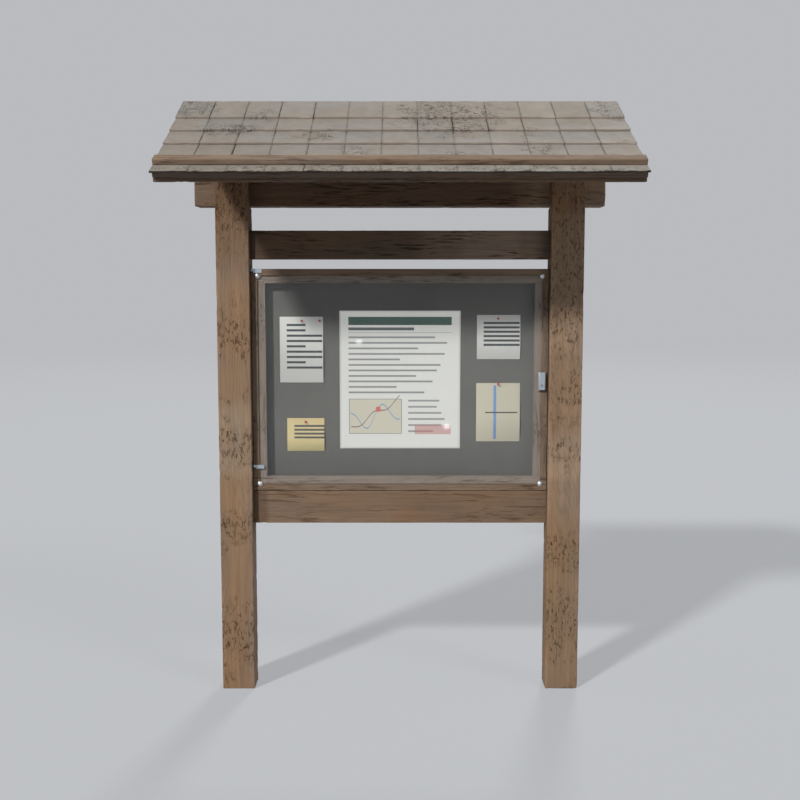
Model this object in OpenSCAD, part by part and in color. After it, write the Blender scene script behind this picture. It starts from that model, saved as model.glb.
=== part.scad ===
// Outdoor notice board: two posts, a glazed and hinged display case between
// them, and a small gable roof over both.
// X runs along the board, Y from front to back and Z up. The origin is on the
// ground, midway between the posts, at half their depth.

/* [Posts] */
// Width of a post, seen from the front
post_w = 120; // [100:1:140]
// Depth of a post, front to back
post_d = 100; // [90:1:120]
// Clear width between the posts
opening_w = 1090; // [1000:1:1200]
// Chamfer on the upright edges of the posts
post_arris = 3; // [1:0.5:5]

/* [Beam and rails] */
// Height of the top beam
beam_h = 100; // [80:1:110]
// Depth of the top beam
beam_d = 100; // [90:1:120]
// Length of beam that runs out past each post
beam_overrun = 81; // [40:1:90]
// Length of the chamfer under each end of the beam
beam_cut_l = 15; // [5:1:30]
// Height of the chamfer under each end of the beam
beam_cut_h = 9; // [3:1:30]
// Depth of the lap in the back of each post that houses the beam
lap_depth = 50; // [30:1:60]
// Gap between the beam and the upper rail
beam_gap = 88; // [20:1:150]
// Gap between the upper rail and the case
upper_rail_gap = 34; // [5:1:80]
// Height of the upper rail
upper_rail_h = 104; // [60:1:130]
// Thickness of the upper rail
upper_rail_t = 45; // [35:1:50]
// Set-back of the upper rail from the front of the posts
upper_rail_setback = 29; // [24:1:50]
// Underside of the lower rail above the ground
lower_rail_z = 628; // [400:1:700]
// Height of the lower rail
lower_rail_h = 121; // [90:1:150]
// Thickness of the lower rail
lower_rail_t = 60; // [52:1:66]
// Set-back of the lower rail from the front of the posts
lower_rail_setback = 29; // [20:1:34]
// Length of the tenon on each rail end
tenon_l = 40; // [20:1:60]
// Thickness of the tenons
tenon_t = 20; // [14:1:26]
// Shoulder above and below each tenon
tenon_shoulder = 15; // [8:1:24]

/* [Case] */
// Thickness of the case walls
case_t = 16; // [12:1:18]
// Depth of the case behind the door
case_d = 25; // [24:1:28]
// Thickness of the back panel
back_t = 9; // [6:1:10]
// Thickness of the pin board
pin_board_t = 7; // [5:1:7]
// Width of the rubber door seal
seal_w = 8; // [5:1:10]

/* [Door] */
// Height of the door
door_h = 817; // [700:1:830]
// Thickness of the door frame
door_t = 30; // [26:1:30]
// Set-back of the door from the front of the posts
door_setback = 29; // [28:1:32]
// Gap between the door and each post
door_side_gap = 2.5; // [2:0.1:4]
// Gap between the door and the lower rail
door_foot_gap = 2; // [1:0.1:4]
// Gap between the back of the door and the case
door_back_gap = 1.5; // [1.2:0.1:2]
// Width of the door stiles
stile_w = 50; // [44:1:60]
// Height of the door's top and bottom rails
door_rail_h = 52; // [46:1:60]
// Thickness of the pane
pane_t = 6; // [4:0.5:8]
// Width of frame that the pane laps
pane_lap = 27; // [22:1:30]
// Diameter of the domed heads that hold the pane
dome_d = 20; // [16:1:22]
// Height of the domed heads
dome_h = 5.5; // [4:0.5:6]
// Diameter of the bolts under the domed heads
bolt_d = 6; // [5:0.5:8]

/* [Hinges] */
// Height of a hinge barrel
hinge_h = 14; // [12:1:14]
// Diameter of a hinge barrel
barrel_d = 10; // [9:0.5:10.5]
// Diameter of a hinge pin
hinge_pin_d = 5; // [4:0.5:6]
// Reach of the strap across the stile from the pin
strap_l = 36; // [28:1:40]
// Thickness of the strap
strap_t = 3; // [2:0.5:3.5]
// Gap between the upper hinge and the domed head below it
upper_hinge_gap = 0.5; // [0.3:0.1:1]
// Centre of the lower hinge above the bottom of the door
lower_hinge_rise = 89; // [60:1:200]

/* [Lock] */
// Width of the lock case
lock_w = 27; // [22:1:30]
// Height of the lock case
lock_h = 64; // [50:1:90]
// How far the lock case stands out from the door
lock_t = 13; // [10:1:16]
// Height of the lock's middle above the bottom of the door
lock_rise = 408; // [200:1:600]
// Drop of the key plug below the middle of the lock case
plug_drop = 15; // [0:1:18]
// Diameter of the key plug
plug_d = 12; // [10:0.5:14]
// Reach of the cam from the middle of the plug
cam_reach = 20; // [17:0.5:21]
// Width of the cam
cam_w = 12; // [8:0.5:12]
// Thickness of the cam
cam_t = 2; // [1.5:0.1:2]

/* [Roof] */
// Pitch of the roof in degrees
pitch = 27.5; // [24:0.5:30]
// Rise of the ridge above the tops of the posts
ridge_rise = 273.7; // [268:0.1:300]
// Width of one shingle, joint included
shingle_pitch = 120; // [100:1:140]
// Number of shingles in a course
shingle_count = 13; // [9:1:17]
// Length of each course that shows, down the slope
exposure = 123; // [110:1:140]
// Length of the ridge pieces down each slope
ridge_piece_l = 168; // [120:1:180]
// Thickness of a shingle at its lower edge
shingle_t = 7; // [4:0.5:10]
// Length of a shingle hidden under the next course
shingle_lap = 30; // [20:1:50]
// Width of the open joint between two shingles
shingle_joint = 2; // [1:0.5:4]
// Thickness of the roof boards
deck_t = 20; // [16:1:24]
// Number of roof boards on a slope
deck_boards = 5; // [4:1:6]
// Gap between two roof boards
deck_gap = 1; // [0.5:0.5:3]
// Reach of the shingles past the roof boards at the eaves
shingle_nose = 15; // [8:1:25]
// Reach of the shingles past the roof boards at the gables
gable_nose = 5; // [2:1:10]
// Width of the battens laid on the shingles at the eaves
batten_w = 45; // [35:1:60]
// Thickness of those battens
batten_t = 21; // [15:1:25]
// Distance of those battens up the slope from the shingle edge
batten_rise = 57; // [40:1:70]
// Thickness of the eaves boards under the roof boards
eaves_board_t = 18; // [15:1:25]
// Height of the eaves boards' outer face
eaves_board_h = 16; // [14:1:30]
// Set-back of the eaves boards from the front of the roof boards
eaves_board_setback = 19; // [15:1:30]

/* [Trusses] */
// Width of the rafters and ties
truss_w = 45; // [35:1:50]
// Depth of the rafters
rafter_d = 60; // [50:1:60]
// Height of the ties
tie_h = 70; // [60:1:80]
// Height of the rafter tails' level underside above the foot of the eaves boards
tail_rise = 12; // [8:1:14]
// Thickness of the ridge board
ridge_board_t = 25; // [20:1:30]
// Height of the ridge board
ridge_board_h = 90; // [80:1:100]
// Diameter of the truss bolts
truss_bolt_d = 10; // [8:1:12]
// Depth of the king posts, front to back
king_post_d = 40; // [30:1:44]

/* [Screws] */
// Diameter of the coach screws
coach_d = 12; // [10:1:14]
// Length of the coach screws under the head
coach_l = 140; // [120:1:150]

/* [Sheets] */
// Width of the poster
poster_w = 447; // [300:1:540]
// Height of the poster
poster_h = 512; // [400:1:600]
// Thickness of each sheet
sheet_t = 0.5; // [0.3:0.1:1]
// Diameter of a pin's head
pin_head_d = 9; // [7:0.5:11]
// Length of a pin's head
pin_head_l = 9; // [6:0.5:10]
// Diameter of a pin's needle
needle_d = 1.2; // [1:0.1:1.6]

/* [Hidden] */
$fn = 48;

// Clearances shared by every fit
seat = 0.3;
wood_fit = 0.3;
pin_fit = 0.05;
bolt_fit = 0.2;
lay_fit = 0.02;
through = 1;

// Posts, beam and rails
post_x = (opening_w + post_w)/2;
post_front = -post_d/2;
post_back = post_d/2;
beam_y = post_back - lap_depth;
beam_half = opening_w/2 + post_w + beam_overrun;
mortise_room = 2;
upper_rail_y = post_front + upper_rail_setback;
lower_rail_y = post_front + lower_rail_setback;
lower_rail_top = lower_rail_z + lower_rail_h;
door_z = lower_rail_top + door_foot_gap;
door_top = door_z + door_h;
upper_rail_z = door_top + upper_rail_gap;
beam_z = upper_rail_z + upper_rail_h + beam_gap;
post_h = beam_z + beam_h;

// Door and case
door_y = post_front + door_setback;
door_back = door_y + door_t;
door_half = opening_w/2 - door_side_gap;
sight_half = door_half - stile_w;
pane_half = sight_half + pane_lap;
pane_z = door_z + door_rail_h - pane_lap;
pane_top = door_top - door_rail_h + pane_lap;
rebate_d = pane_t + seat;
case_y = door_back + door_back_gap;
case_rear = case_y + case_d;
case_half = opening_w/2;
case_in = case_half - case_t;
case_z = lower_rail_top;
board_y = case_rear - back_t - pin_board_t;
seal_t = 0.9;
seal_inset = 4;
rebate_play = 1;

// Bolts that hold the pane
dome_r = (dome_d*dome_d/4 + dome_h*dome_h)/(2*dome_h);
nut_h = 5;
nut_af = 10;
bolt_tail = 1;
pane_play = 2;
bolt_spots = [for (x = [-pane_half, pane_half], z = [pane_z, pane_top]) [x, z]];

// Hinges, with the pin line in front of the stile
hinge_out = 6;
hinge_x = -opening_w/2 + hinge_out;
hinge_y = door_y - hinge_out;
hinge_zs = [door_z + lower_hinge_rise, pane_top + dome_d/2 + upper_hinge_gap + hinge_h/2];
leaf_t = 2;
leaf_l = 15;
leaf_h = 40;
leaf_drop = 8;
leaf_gap = 1;
fixed_knuckle_h = 5;
pin_rim = 1.2;
pin_rim_h = 1.5;

// Lock, with its plug through the right stile
lock_inset = 24.5;
lock_x = opening_w/2 - lock_inset;
lock_z = door_z + lock_rise;
plug_z = lock_z - plug_drop;
plug_stand = 0.6;
keyway_w = 1.8;
keyway_h = 8;
keyway_d = 8;
lock_round = 4;
cam_setback = 2.5;
cam_y = case_y + cam_setback;
striker_t = 2;
striker_lip = 1.5;
pocket_d = 5.5;
pocket_end = 2;
cam_room = 2;
tail_d = plug_d*2/3;
pocket_low = plug_z - cam_w/2 - cam_room;
pocket_high = plug_z + cam_reach + 2*cam_room;

// Roof lines. A point on a slope is given as [s, n]: s down the slope from the
// ridge of the roof boards, n square to it and outward.
course_count = 4;
ridge_z = post_h + ridge_rise;
butt_rise = shingle_t*(1 + shingle_lap/exposure);
deck_ridge_z = ridge_z - shingle_t/cos(pitch);
eaves_s = ridge_piece_l + course_count*exposure;
deck_s = eaves_s - shingle_nose;
roof_half = shingle_pitch*shingle_count/2;
deck_half = roof_half - gable_nose;
batten_half = roof_half - shingle_joint/2;
deck_under_z = deck_ridge_z - deck_t/cos(pitch);
deck_nose_y = deck_s*cos(pitch);
eaves_out = deck_nose_y - eaves_board_setback;
eaves_in = eaves_out - eaves_board_t;
eaves_board_z = under_deck(eaves_out) - eaves_board_h;
tail_z = eaves_board_z + tail_rise;
rafter_under_z = deck_under_z - rafter_d/cos(pitch);
board_pitch = deck_s/deck_boards;
tie_z = post_h;
tie_top = tie_z + tie_h;
ridge_board_top = under_deck(ridge_board_t/2);
ridge_board_z = ridge_board_top - ridge_board_h;

// Left sides of the ties and of the rafters that lie against them
tie_xs = [-post_x, -truss_w, post_x - truss_w];
rafter_xs = [-post_x - truss_w, 0, post_x];
truss_bolt_af = 17;
truss_head_h = 6.5;
truss_nut_h = 8;
truss_bolt_tail = 4;
bolt_z = tie_z + tie_h/2;
bolt_y = (under_deck(0) - rafter_d/2/cos(pitch) - bolt_z)/tan(pitch);

// Coach screws: [x, y, z, direction], where 1 runs forward from the back of
// the beam and 0 runs down from the top of a tie
coach_head_h = 8;
coach_head_af = 19;
washer_d = 26;
washer_t = 2;
beam_screw_inset = 26;
upper_screw_shift = 4;
lower_screw_shift = 36;
tie_screw_inset = 12;
coach_spots = concat(
    [for (side = [-1, 1]) [side*(post_x + lower_screw_shift), beam_y + beam_d,
        beam_z + beam_screw_inset, 1]],
    [for (side = [-1, 1]) [side*(post_x + upper_screw_shift), beam_y + beam_d,
        post_h - beam_screw_inset, 1]],
    [for (i = [0, 2], y = [post_front + tie_screw_inset, beam_y + beam_d - beam_screw_inset])
        [tie_xs[i] + truss_w/2, y, tie_top, 0]],
    [for (y = [beam_y + beam_screw_inset, beam_y + beam_d - beam_screw_inset])
        [tie_xs[1] + truss_w/2, y, tie_top, 0]]);

// Sheets on the board, from the board's middle: middle x, middle z, width, height.
// The small ones hang in a column at each side.
sheet_y = board_y - seat - sheet_t;
board_mid_z = (case_z + door_top)/2;
column_inset = 165;
column_x = case_in - column_inset;
yellow_shift = 13;
pin_shift = 2;
edge_pin_shift = 68;
poster_spot = [0, 0.5];
white_sheets = [[-column_x, 113, 160, 243], [column_x, 159.5, 160, 163]];
yellow_sheet = [-column_x + yellow_shift, -203.5, 138, 123];
beige_sheet = [column_x, -120, 162, 218];
pin_spots = [[-column_x + pin_shift, 219], [-column_x + edge_pin_shift, 220],
    [column_x - pin_shift, 228], [-column_x + yellow_shift, -155.5], [column_x, -14]];

// Waisted profile of a pin's head: [radius, height] pairs
pin_r = pin_head_d/2;
pin_foot_r = pin_r*0.9;
pin_waist_r = pin_r*0.47;
pin_foot_h = pin_head_l*0.13;
pin_waist_h = pin_head_l*0.25;
pin_cap_h = pin_head_l*0.33;
needle_end = 1;

function slope_y(s, n) = s*cos(pitch) + n*sin(pitch);
function slope_z(s, n) = deck_ridge_z - s*sin(pitch) + n*cos(pitch);
function on_slope(p) = [slope_y(p[0], p[1]), slope_z(p[0], p[1])];
function under_deck(y) = deck_under_z - y*tan(pitch);
function under_rafter(y) = rafter_under_z - y*tan(pitch);
// Top of the eaves course, which falls back up the slope under the next one
function eaves_course_top(s) = butt_rise - shingle_t*(eaves_s - s)/exposure;

// Extrudes a [y, z] outline along X, from x0 over the length l. Outlines are
// drawn for the rear slope and mirrored for the front one.
module along_x(x0, l, points) {
    translate([x0, 0, 0])
        rotate([90, 0, 90])
            linear_extrude(height = l)
                polygon(points);
}

module front_side() {
    mirror([0, 1, 0])
        children();
}

// Box from one corner to the opposite one
module block(a, b) {
    translate(a)
        cube(b - a);
}

// Box with chamfered upright edges, from one corner to the opposite one
module upright(a, b, c) {
    translate([0, 0, a[2]])
        linear_extrude(height = b[2] - a[2])
            polygon([[a[0] + c, a[1]], [b[0] - c, a[1]], [b[0], a[1] + c], [b[0], b[1] - c],
                [b[0] - c, b[1]], [a[0] + c, b[1]], [a[0], b[1] - c], [a[0], a[1] + c]]);
}

// Cylinder along Y from y0 to y1
module rod_y(x, z, y0, y1, d) {
    translate([x, y0, z])
        rotate([-90, 0, 0])
            cylinder(d = d, h = y1 - y0);
}

// Hexagonal head or nut, measured across its flats
module hex(af, h) {
    cylinder(d = af/cos(30), h = h, $fn = 6);
}

// Posts

module post(side) {
    inner = side*opening_w/2;
    outer = side*(opening_w/2 + post_w);
    difference() {
        upright([min(inner, outer), post_front, 0], [max(inner, outer), post_back, post_h],
            post_arris);
        block([min(inner, outer) - through, beam_y, beam_z],
            [max(inner, outer) + through, post_back + through, post_h + through]);
        mortise(side, upper_rail_y + upper_rail_t/2, upper_rail_z, upper_rail_h);
        mortise(side, lower_rail_y + lower_rail_t/2, lower_rail_z, lower_rail_h);
        for (s = coach_spots)
            coach_bore(s, bolt_fit);
    }
}

module mortise(side, y, z, h) {
    depth = tenon_l + mortise_room;
    x0 = side*(opening_w/2 - through);
    x1 = side*(opening_w/2 + depth);
    block([min(x0, x1), y - tenon_t/2 - wood_fit, z + tenon_shoulder - wood_fit],
        [max(x0, x1), y + tenon_t/2 + wood_fit, z + h - tenon_shoulder + wood_fit]);
}

module post_left() {
    color("#8a7058") post(-1);
}

module post_right() {
    color("#8a7058") post(1);
}

// Beam and rails

module top_beam() {
    color("#7b634d")
        difference() {
            translate([0, beam_y + beam_d, 0])
                rotate([90, 0, 0])
                    linear_extrude(height = beam_d)
                        polygon([[beam_cut_l - beam_half, beam_z], [beam_half - beam_cut_l, beam_z],
                            [beam_half, beam_z + beam_cut_h], [beam_half, post_h],
                            [-beam_half, post_h], [-beam_half, beam_z + beam_cut_h]]);
            for (s = coach_spots)
                coach_bore(s, bolt_fit);
        }
}

module tenoned_rail(y, z, t, h) {
    union() {
        block([-opening_w/2, y, z], [opening_w/2, y + t, z + h]);
        block([-opening_w/2 - tenon_l, y + t/2 - tenon_t/2, z + tenon_shoulder],
            [opening_w/2 + tenon_l, y + t/2 + tenon_t/2, z + h - tenon_shoulder]);
    }
}

module upper_rail() {
    color("#86705a") tenoned_rail(upper_rail_y, upper_rail_z, upper_rail_t, upper_rail_h);
}

module lower_rail() {
    color("#8b735a") tenoned_rail(lower_rail_y, lower_rail_z, lower_rail_t, lower_rail_h);
}

// Screws

module coach_pose(s) {
    translate([s[0], s[1], s[2]])
        rotate([s[3] == 1 ? -90 : 0, 0, 0])
            children();
}

module coach_bore(s, fit) {
    coach_pose(s)
        translate([0, 0, -coach_l - through])
            cylinder(d = coach_d + 2*fit, h = coach_l + 2*through);
}

module coach_screws() {
    color("#8f9499")
        for (s = coach_spots)
            coach_pose(s) {
                translate([0, 0, -coach_l])
                    cylinder(d = coach_d, h = coach_l + washer_t);
                cylinder(d = washer_d, h = washer_t);
                translate([0, 0, washer_t])
                    hex(coach_head_af, coach_head_h);
            }
}

// Trusses

module truss_bolt_bore(i, side, fit) {
    translate([min(tie_xs[i], rafter_xs[i]) - through, side*bolt_y, bolt_z])
        rotate([0, 90, 0])
            cylinder(d = truss_bolt_d + 2*fit, h = 2*truss_w + 2*through);
}

module tie(i) {
    end_low = (deck_under_z - tie_z)/tan(pitch);
    end_high = (deck_under_z - tie_top)/tan(pitch);
    color("#6f5a46")
        difference() {
            along_x(tie_xs[i], truss_w, [[-end_low, tie_z], [end_low, tie_z],
                [end_high, tie_top], [-end_high, tie_top]]);
            for (side = [-1, 1])
                truss_bolt_bore(i, side, bolt_fit);
            for (s = coach_spots)
                coach_bore(s, bolt_fit);
        }
}

module tie_left() {
    tie(0);
}

module tie_centre() {
    tie(1);
}

module tie_right() {
    tie(2);
}

// Rafter on the rear slope: plumb cuts at the ridge board and the eaves board,
// and a level cut under its tail
module rafter(i) {
    y0 = ridge_board_t/2;
    y_tail = (rafter_under_z - tail_z)/tan(pitch);
    along_x(rafter_xs[i], truss_w, [[y0, under_deck(y0)], [y0, under_rafter(y0)],
        [y_tail, tail_z], [eaves_in, tail_z], [eaves_in, under_deck(eaves_in)]]);
}

module drilled_rafter(i, side) {
    color("#6f5a46")
        difference() {
            if (side < 0)
                front_side() rafter(i);
            else
                rafter(i);
            truss_bolt_bore(i, side, bolt_fit);
        }
}

module rafter_front_left() {
    drilled_rafter(0, -1);
}

module rafter_front_centre() {
    drilled_rafter(1, -1);
}

module rafter_front_right() {
    drilled_rafter(2, -1);
}

module rafter_rear_left() {
    drilled_rafter(0, 1);
}

module rafter_rear_centre() {
    drilled_rafter(1, 1);
}

module rafter_rear_right() {
    drilled_rafter(2, 1);
}

module king_post(i) {
    color("#6f5a46")
        block([tie_xs[i], -king_post_d/2, tie_top],
            [tie_xs[i] + truss_w, king_post_d/2, ridge_board_z]);
}

module king_post_left() {
    king_post(0);
}

module king_post_right() {
    king_post(2);
}

module ridge_board() {
    y = ridge_board_t/2;
    color("#6f5a46")
        along_x(-deck_half, 2*deck_half, [[-y, ridge_board_z], [y, ridge_board_z],
            [y, ridge_board_top], [0, deck_under_z], [-y, ridge_board_top]]);
}

module truss_bolts() {
    color("#8f9499")
        for (i = [0:2], side = [-1, 1])
            translate([min(tie_xs[i], rafter_xs[i]), side*bolt_y, bolt_z])
                rotate([0, 90, 0]) {
                    translate([0, 0, -truss_head_h])
                        hex(truss_bolt_af, truss_head_h);
                    translate([0, 0, -through])
                        cylinder(d = truss_bolt_d,
                            h = 2*truss_w + truss_nut_h + truss_bolt_tail + through);
                    translate([0, 0, 2*truss_w])
                        hex(truss_bolt_af, truss_nut_h);
                }
}

// Roof boards, eaves boards, shingles and battens, all drawn for the rear slope

module eaves_board() {
    along_x(-deck_half, 2*deck_half, [[eaves_in, eaves_board_z], [eaves_out, eaves_board_z],
        [eaves_out, under_deck(eaves_out)], [eaves_in, under_deck(eaves_in)]]);
}

module eaves_board_front() {
    color("#4c3f33") front_side() eaves_board();
}

module eaves_board_rear() {
    color("#4c3f33") eaves_board();
}

module roof_boards() {
    for (k = [0:deck_boards - 1]) {
        s0 = k*board_pitch;
        s1 = s0 + board_pitch - (k < deck_boards - 1 ? deck_gap : 0);
        upper_low = k == 0 ? [deck_t*tan(pitch), -deck_t] : [s0, -deck_t];
        along_x(-deck_half, 2*deck_half, [on_slope([s0, 0]), on_slope([s1, 0]),
            on_slope([s1, -deck_t]), on_slope(upper_low)]);
    }
}

module roof_boards_front() {
    color("#4c3f33") front_side() roof_boards();
}

module roof_boards_rear() {
    color("#4c3f33") roof_boards();
}

module shingle_row(points) {
    w = shingle_pitch - shingle_joint;
    for (i = [0:shingle_count - 1])
        along_x(-roof_half + i*shingle_pitch + shingle_joint/2, w, points);
}

// Tapered shingles of one course, counted up from the eaves. The lower edge
// lies on the course below and the head runs out on the boards, with a hair of
// room under each.
module course(k) {
    butt = eaves_s - (k - 1)*exposure;
    head = butt - exposure - shingle_lap;
    color("#968f85")
        shingle_row([on_slope([butt, butt_rise]),
            on_slope([butt, butt_rise - shingle_t + 2*lay_fit]),
            on_slope([butt - shingle_lap, 2*lay_fit]), on_slope([head, lay_fit])]);
}

module shingles_front_1() {
    front_side() course(1);
}

module shingles_front_2() {
    front_side() course(2);
}

module shingles_front_3() {
    front_side() course(3);
}

module shingles_front_4() {
    front_side() course(4);
}

module shingles_rear_1() {
    course(1);
}

module shingles_rear_2() {
    course(2);
}

module shingles_rear_3() {
    course(3);
}

module shingles_rear_4() {
    course(4);
}

// Shingles bent over the ridge, which cover the top of both slopes
module ridge_shingles() {
    rear = [on_slope([ridge_piece_l, butt_rise]),
        on_slope([ridge_piece_l, butt_rise - shingle_t + 2*lay_fit]),
        on_slope([ridge_piece_l - shingle_lap, 2*lay_fit])];
    front = [for (p = [rear[2], rear[1], rear[0]]) [-p[0], p[1]]];
    color("#968f85")
        shingle_row(concat([[0, ridge_z]], rear, [[0, deck_ridge_z + 2*lay_fit]], front));
}

module eaves_batten() {
    s1 = eaves_s - batten_rise;
    s0 = s1 - batten_w;
    along_x(-batten_half, 2*batten_half, [on_slope([s0, eaves_course_top(s0) + lay_fit]),
        on_slope([s1, eaves_course_top(s1) + lay_fit]),
        on_slope([s1, eaves_course_top(s1) + batten_t]),
        on_slope([s0, eaves_course_top(s0) + batten_t])]);
}

module eaves_batten_front() {
    color("#87705a") front_side() eaves_batten();
}

module eaves_batten_rear() {
    color("#87705a") eaves_batten();
}

// Case

module case_side_left() {
    color("#77634f")
        block([-case_half, case_y, case_z], [-case_in, case_rear, door_top]);
}

// The right side has a pocket for the lock's cam and a shallow seat for the
// striker plate in front of it
module case_side_right() {
    color("#77634f")
        difference() {
            block([case_in, case_y, case_z], [case_half, case_rear, door_top]);
            block([case_in - through, case_y - through, pocket_low - striker_lip - seat],
                [case_half - pocket_end + seat, case_y + striker_t + seat,
                pocket_high + striker_lip + seat]);
            block([case_in - through, case_y, pocket_low],
                [case_half - pocket_end, case_y + striker_t + pocket_d, pocket_high]);
        }
}

module striker_plate() {
    color("#9aa3ab")
        block([case_in - striker_lip, case_y, pocket_low - striker_lip],
            [case_half - pocket_end, case_y + striker_t, pocket_high + striker_lip]);
}

module case_top() {
    color("#77634f")
        block([-case_in, case_y, door_top - case_t], [case_in, case_rear, door_top]);
}

module case_bottom() {
    color("#77634f")
        block([-case_in, case_y, case_z], [case_in, case_rear, case_z + case_t]);
}

module case_back() {
    color("#6d5c49")
        block([-case_in, case_rear - back_t, case_z + case_t],
            [case_in, case_rear, door_top - case_t]);
}

module pin_board() {
    color("#69686a")
        difference() {
            block([-case_in, board_y, case_z + case_t],
                [case_in, board_y + pin_board_t, door_top - case_t]);
            needle_bores();
        }
}

// Flat rubber strip round the mouth of the case, just behind the door
module door_seal() {
    in_x = case_half - seal_inset - seal_w;
    out_x = case_half - seal_inset;
    color("#2a2a2b")
        difference() {
            block([-out_x, case_y - seal_t, case_z + seal_inset],
                [out_x, case_y, door_top - seal_inset]);
            block([-in_x, case_y - seal_t - through, case_z + seal_inset + seal_w],
                [in_x, case_y + through, door_top - seal_inset - seal_w]);
        }
}

// Door

module pane_rebate() {
    block([-pane_half - rebate_play, door_y - through, pane_z - rebate_play],
        [pane_half + rebate_play, door_y + rebate_d, pane_top + rebate_play]);
}

module pane_bolt_bores() {
    for (p = bolt_spots)
        rod_y(p[0], p[1], door_y - through, door_back + through, bolt_d + 2*bolt_fit);
}

module stile(side) {
    x0 = side*sight_half;
    x1 = side*door_half;
    block([min(x0, x1), door_y, door_z + door_rail_h],
        [max(x0, x1), door_back, door_top - door_rail_h]);
}

module door_stile_left() {
    color("#857464")
        difference() {
            stile(-1);
            pane_rebate();
        }
}

module door_stile_right() {
    color("#857464")
        difference() {
            stile(1);
            pane_rebate();
            rod_y(lock_x, plug_z, door_y - through, door_back + through, plug_d + 2*bolt_fit);
        }
}

module door_rail(z) {
    color("#857464")
        difference() {
            block([-door_half, door_y, z], [door_half, door_back, z + door_rail_h]);
            pane_rebate();
            pane_bolt_bores();
        }
}

module door_top_rail() {
    door_rail(door_top - door_rail_h);
}

module door_bottom_rail() {
    door_rail(door_z);
}

// The pane's corners are scalloped round the bolts that clamp it
module glass_pane() {
    color("#aebfc4", 0.35)
        difference() {
            block([-pane_half, door_y, pane_z], [pane_half, door_y + pane_t, pane_top]);
            for (p = bolt_spots)
                rod_y(p[0], p[1], door_y - through, door_y + pane_t + through,
                    bolt_d + 2*pane_play);
            rod_y(lock_x, plug_z, door_y - through, door_y + pane_t + through,
                plug_d + 2*pane_play);
        }
}

module pane_bolts() {
    color("#b4babf")
        for (p = bolt_spots)
            translate([p[0], door_y, p[1]])
                rotate([90, 0, 0]) {
                    intersection() {
                        translate([0, 0, dome_h - dome_r])
                            sphere(r = dome_r);
                        cylinder(d = dome_d, h = dome_h + through);
                    }
                    translate([0, 0, -door_t - nut_h - bolt_tail])
                        cylinder(d = bolt_d, h = door_t + nut_h + bolt_tail + through);
                }
}

module pane_nuts() {
    color("#8f9499")
        for (p = bolt_spots)
            translate([p[0], door_back, p[1]])
                rotate([-90, 0, 0])
                    difference() {
                        hex(nut_af, nut_h);
                        translate([0, 0, -through])
                            cylinder(d = bolt_d + 2*pin_fit, h = nut_h + 2*through);
                    }
}

// Hinges. Each barrel has a knuckle on the post below one on the door.

module knuckle(z0, z1) {
    translate([hinge_x, hinge_y, z0])
        cylinder(d = barrel_d, h = z1 - z0);
}

module hinge_bore(z) {
    translate([hinge_x, hinge_y, z - hinge_h/2 - through])
        cylinder(d = hinge_pin_d + 2*pin_fit, h = hinge_h + 2*through);
}

module hinge_leaves_post() {
    wall = -opening_w/2;
    color("#8f9499")
        for (z = hinge_zs) {
            low = z - hinge_h/2;
            leaf_back = hinge_y - barrel_d/2 - leaf_gap;
            difference() {
                union() {
                    block([wall, leaf_back - leaf_l, low - leaf_drop],
                        [wall + leaf_t, leaf_back, low - leaf_drop + leaf_h]);
                    block([wall, leaf_back - through, low],
                        [wall + leaf_t, hinge_y, low + fixed_knuckle_h]);
                    block([wall, hinge_y - barrel_d/4, low],
                        [hinge_x, hinge_y, low + fixed_knuckle_h]);
                    knuckle(low, low + fixed_knuckle_h);
                }
                hinge_bore(z);
            }
        }
}

module hinge_leaves_door() {
    clear_x = hinge_x + barrel_d/2 + seat;
    color("#9aa1a8")
        for (z = hinge_zs) {
            low = z - hinge_h/2;
            split = low + fixed_knuckle_h + seat;
            difference() {
                union() {
                    block([clear_x, door_y - strap_t, low], [hinge_x + strap_l, door_y, low + hinge_h]);
                    block([hinge_x, door_y - strap_t, split], [clear_x + seat, door_y, low + hinge_h]);
                    knuckle(split, low + hinge_h);
                }
                hinge_bore(z);
            }
        }
}

module hinge_pins() {
    color("#7d8287")
        for (z = hinge_zs)
            translate([hinge_x, hinge_y, z - hinge_h/2]) {
                cylinder(d = hinge_pin_d, h = hinge_h + seat + pin_rim_h);
                translate([0, 0, hinge_h + seat])
                    cylinder(d = hinge_pin_d + 2*pin_rim, h = pin_rim_h);
            }
}

// Lock

// Block on the door's front with rounded upright front edges
module lock_case() {
    x0 = lock_x - lock_w/2;
    x1 = lock_x + lock_w/2;
    front = door_y - lock_t;
    low = lock_z - lock_h/2;
    high = lock_z + lock_h/2;
    color("#8d98a2")
        difference() {
            union() {
                block([x0, front + lock_round, low], [x1, door_y, high]);
                block([x0 + lock_round, front, low], [x1 - lock_round, door_y, high]);
                for (x = [x0 + lock_round, x1 - lock_round])
                    translate([x, front + lock_round, low])
                        cylinder(r = lock_round, h = high - low);
            }
            rod_y(lock_x, plug_z, front - through, door_y + through, plug_d + 2*pin_fit);
        }
}

module lock_plug() {
    front = door_y - lock_t - plug_stand;
    color("#b3a36a")
        difference() {
            union() {
                rod_y(lock_x, plug_z, front, cam_y - seat, plug_d);
                rod_y(lock_x, plug_z, front + through, cam_y + cam_t, tail_d);
            }
            block([lock_x - keyway_w/2, front - through, plug_z - keyway_h/2],
                [lock_x + keyway_w/2, front + keyway_d, plug_z + keyway_h/2]);
        }
}

// Cam on the plug's tail, drawn turned up, clear of the striker plate
module lock_cam() {
    color("#8f9499")
        difference() {
            union() {
                rod_y(lock_x, plug_z, cam_y, cam_y + cam_t, cam_w);
                block([lock_x - cam_w/2, cam_y, plug_z],
                    [lock_x + cam_w/2, cam_y + cam_t, plug_z + cam_reach]);
            }
            rod_y(lock_x, plug_z, cam_y - through, cam_y + cam_t + through, tail_d + 2*pin_fit);
        }
}

// Sheets and pins

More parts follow.
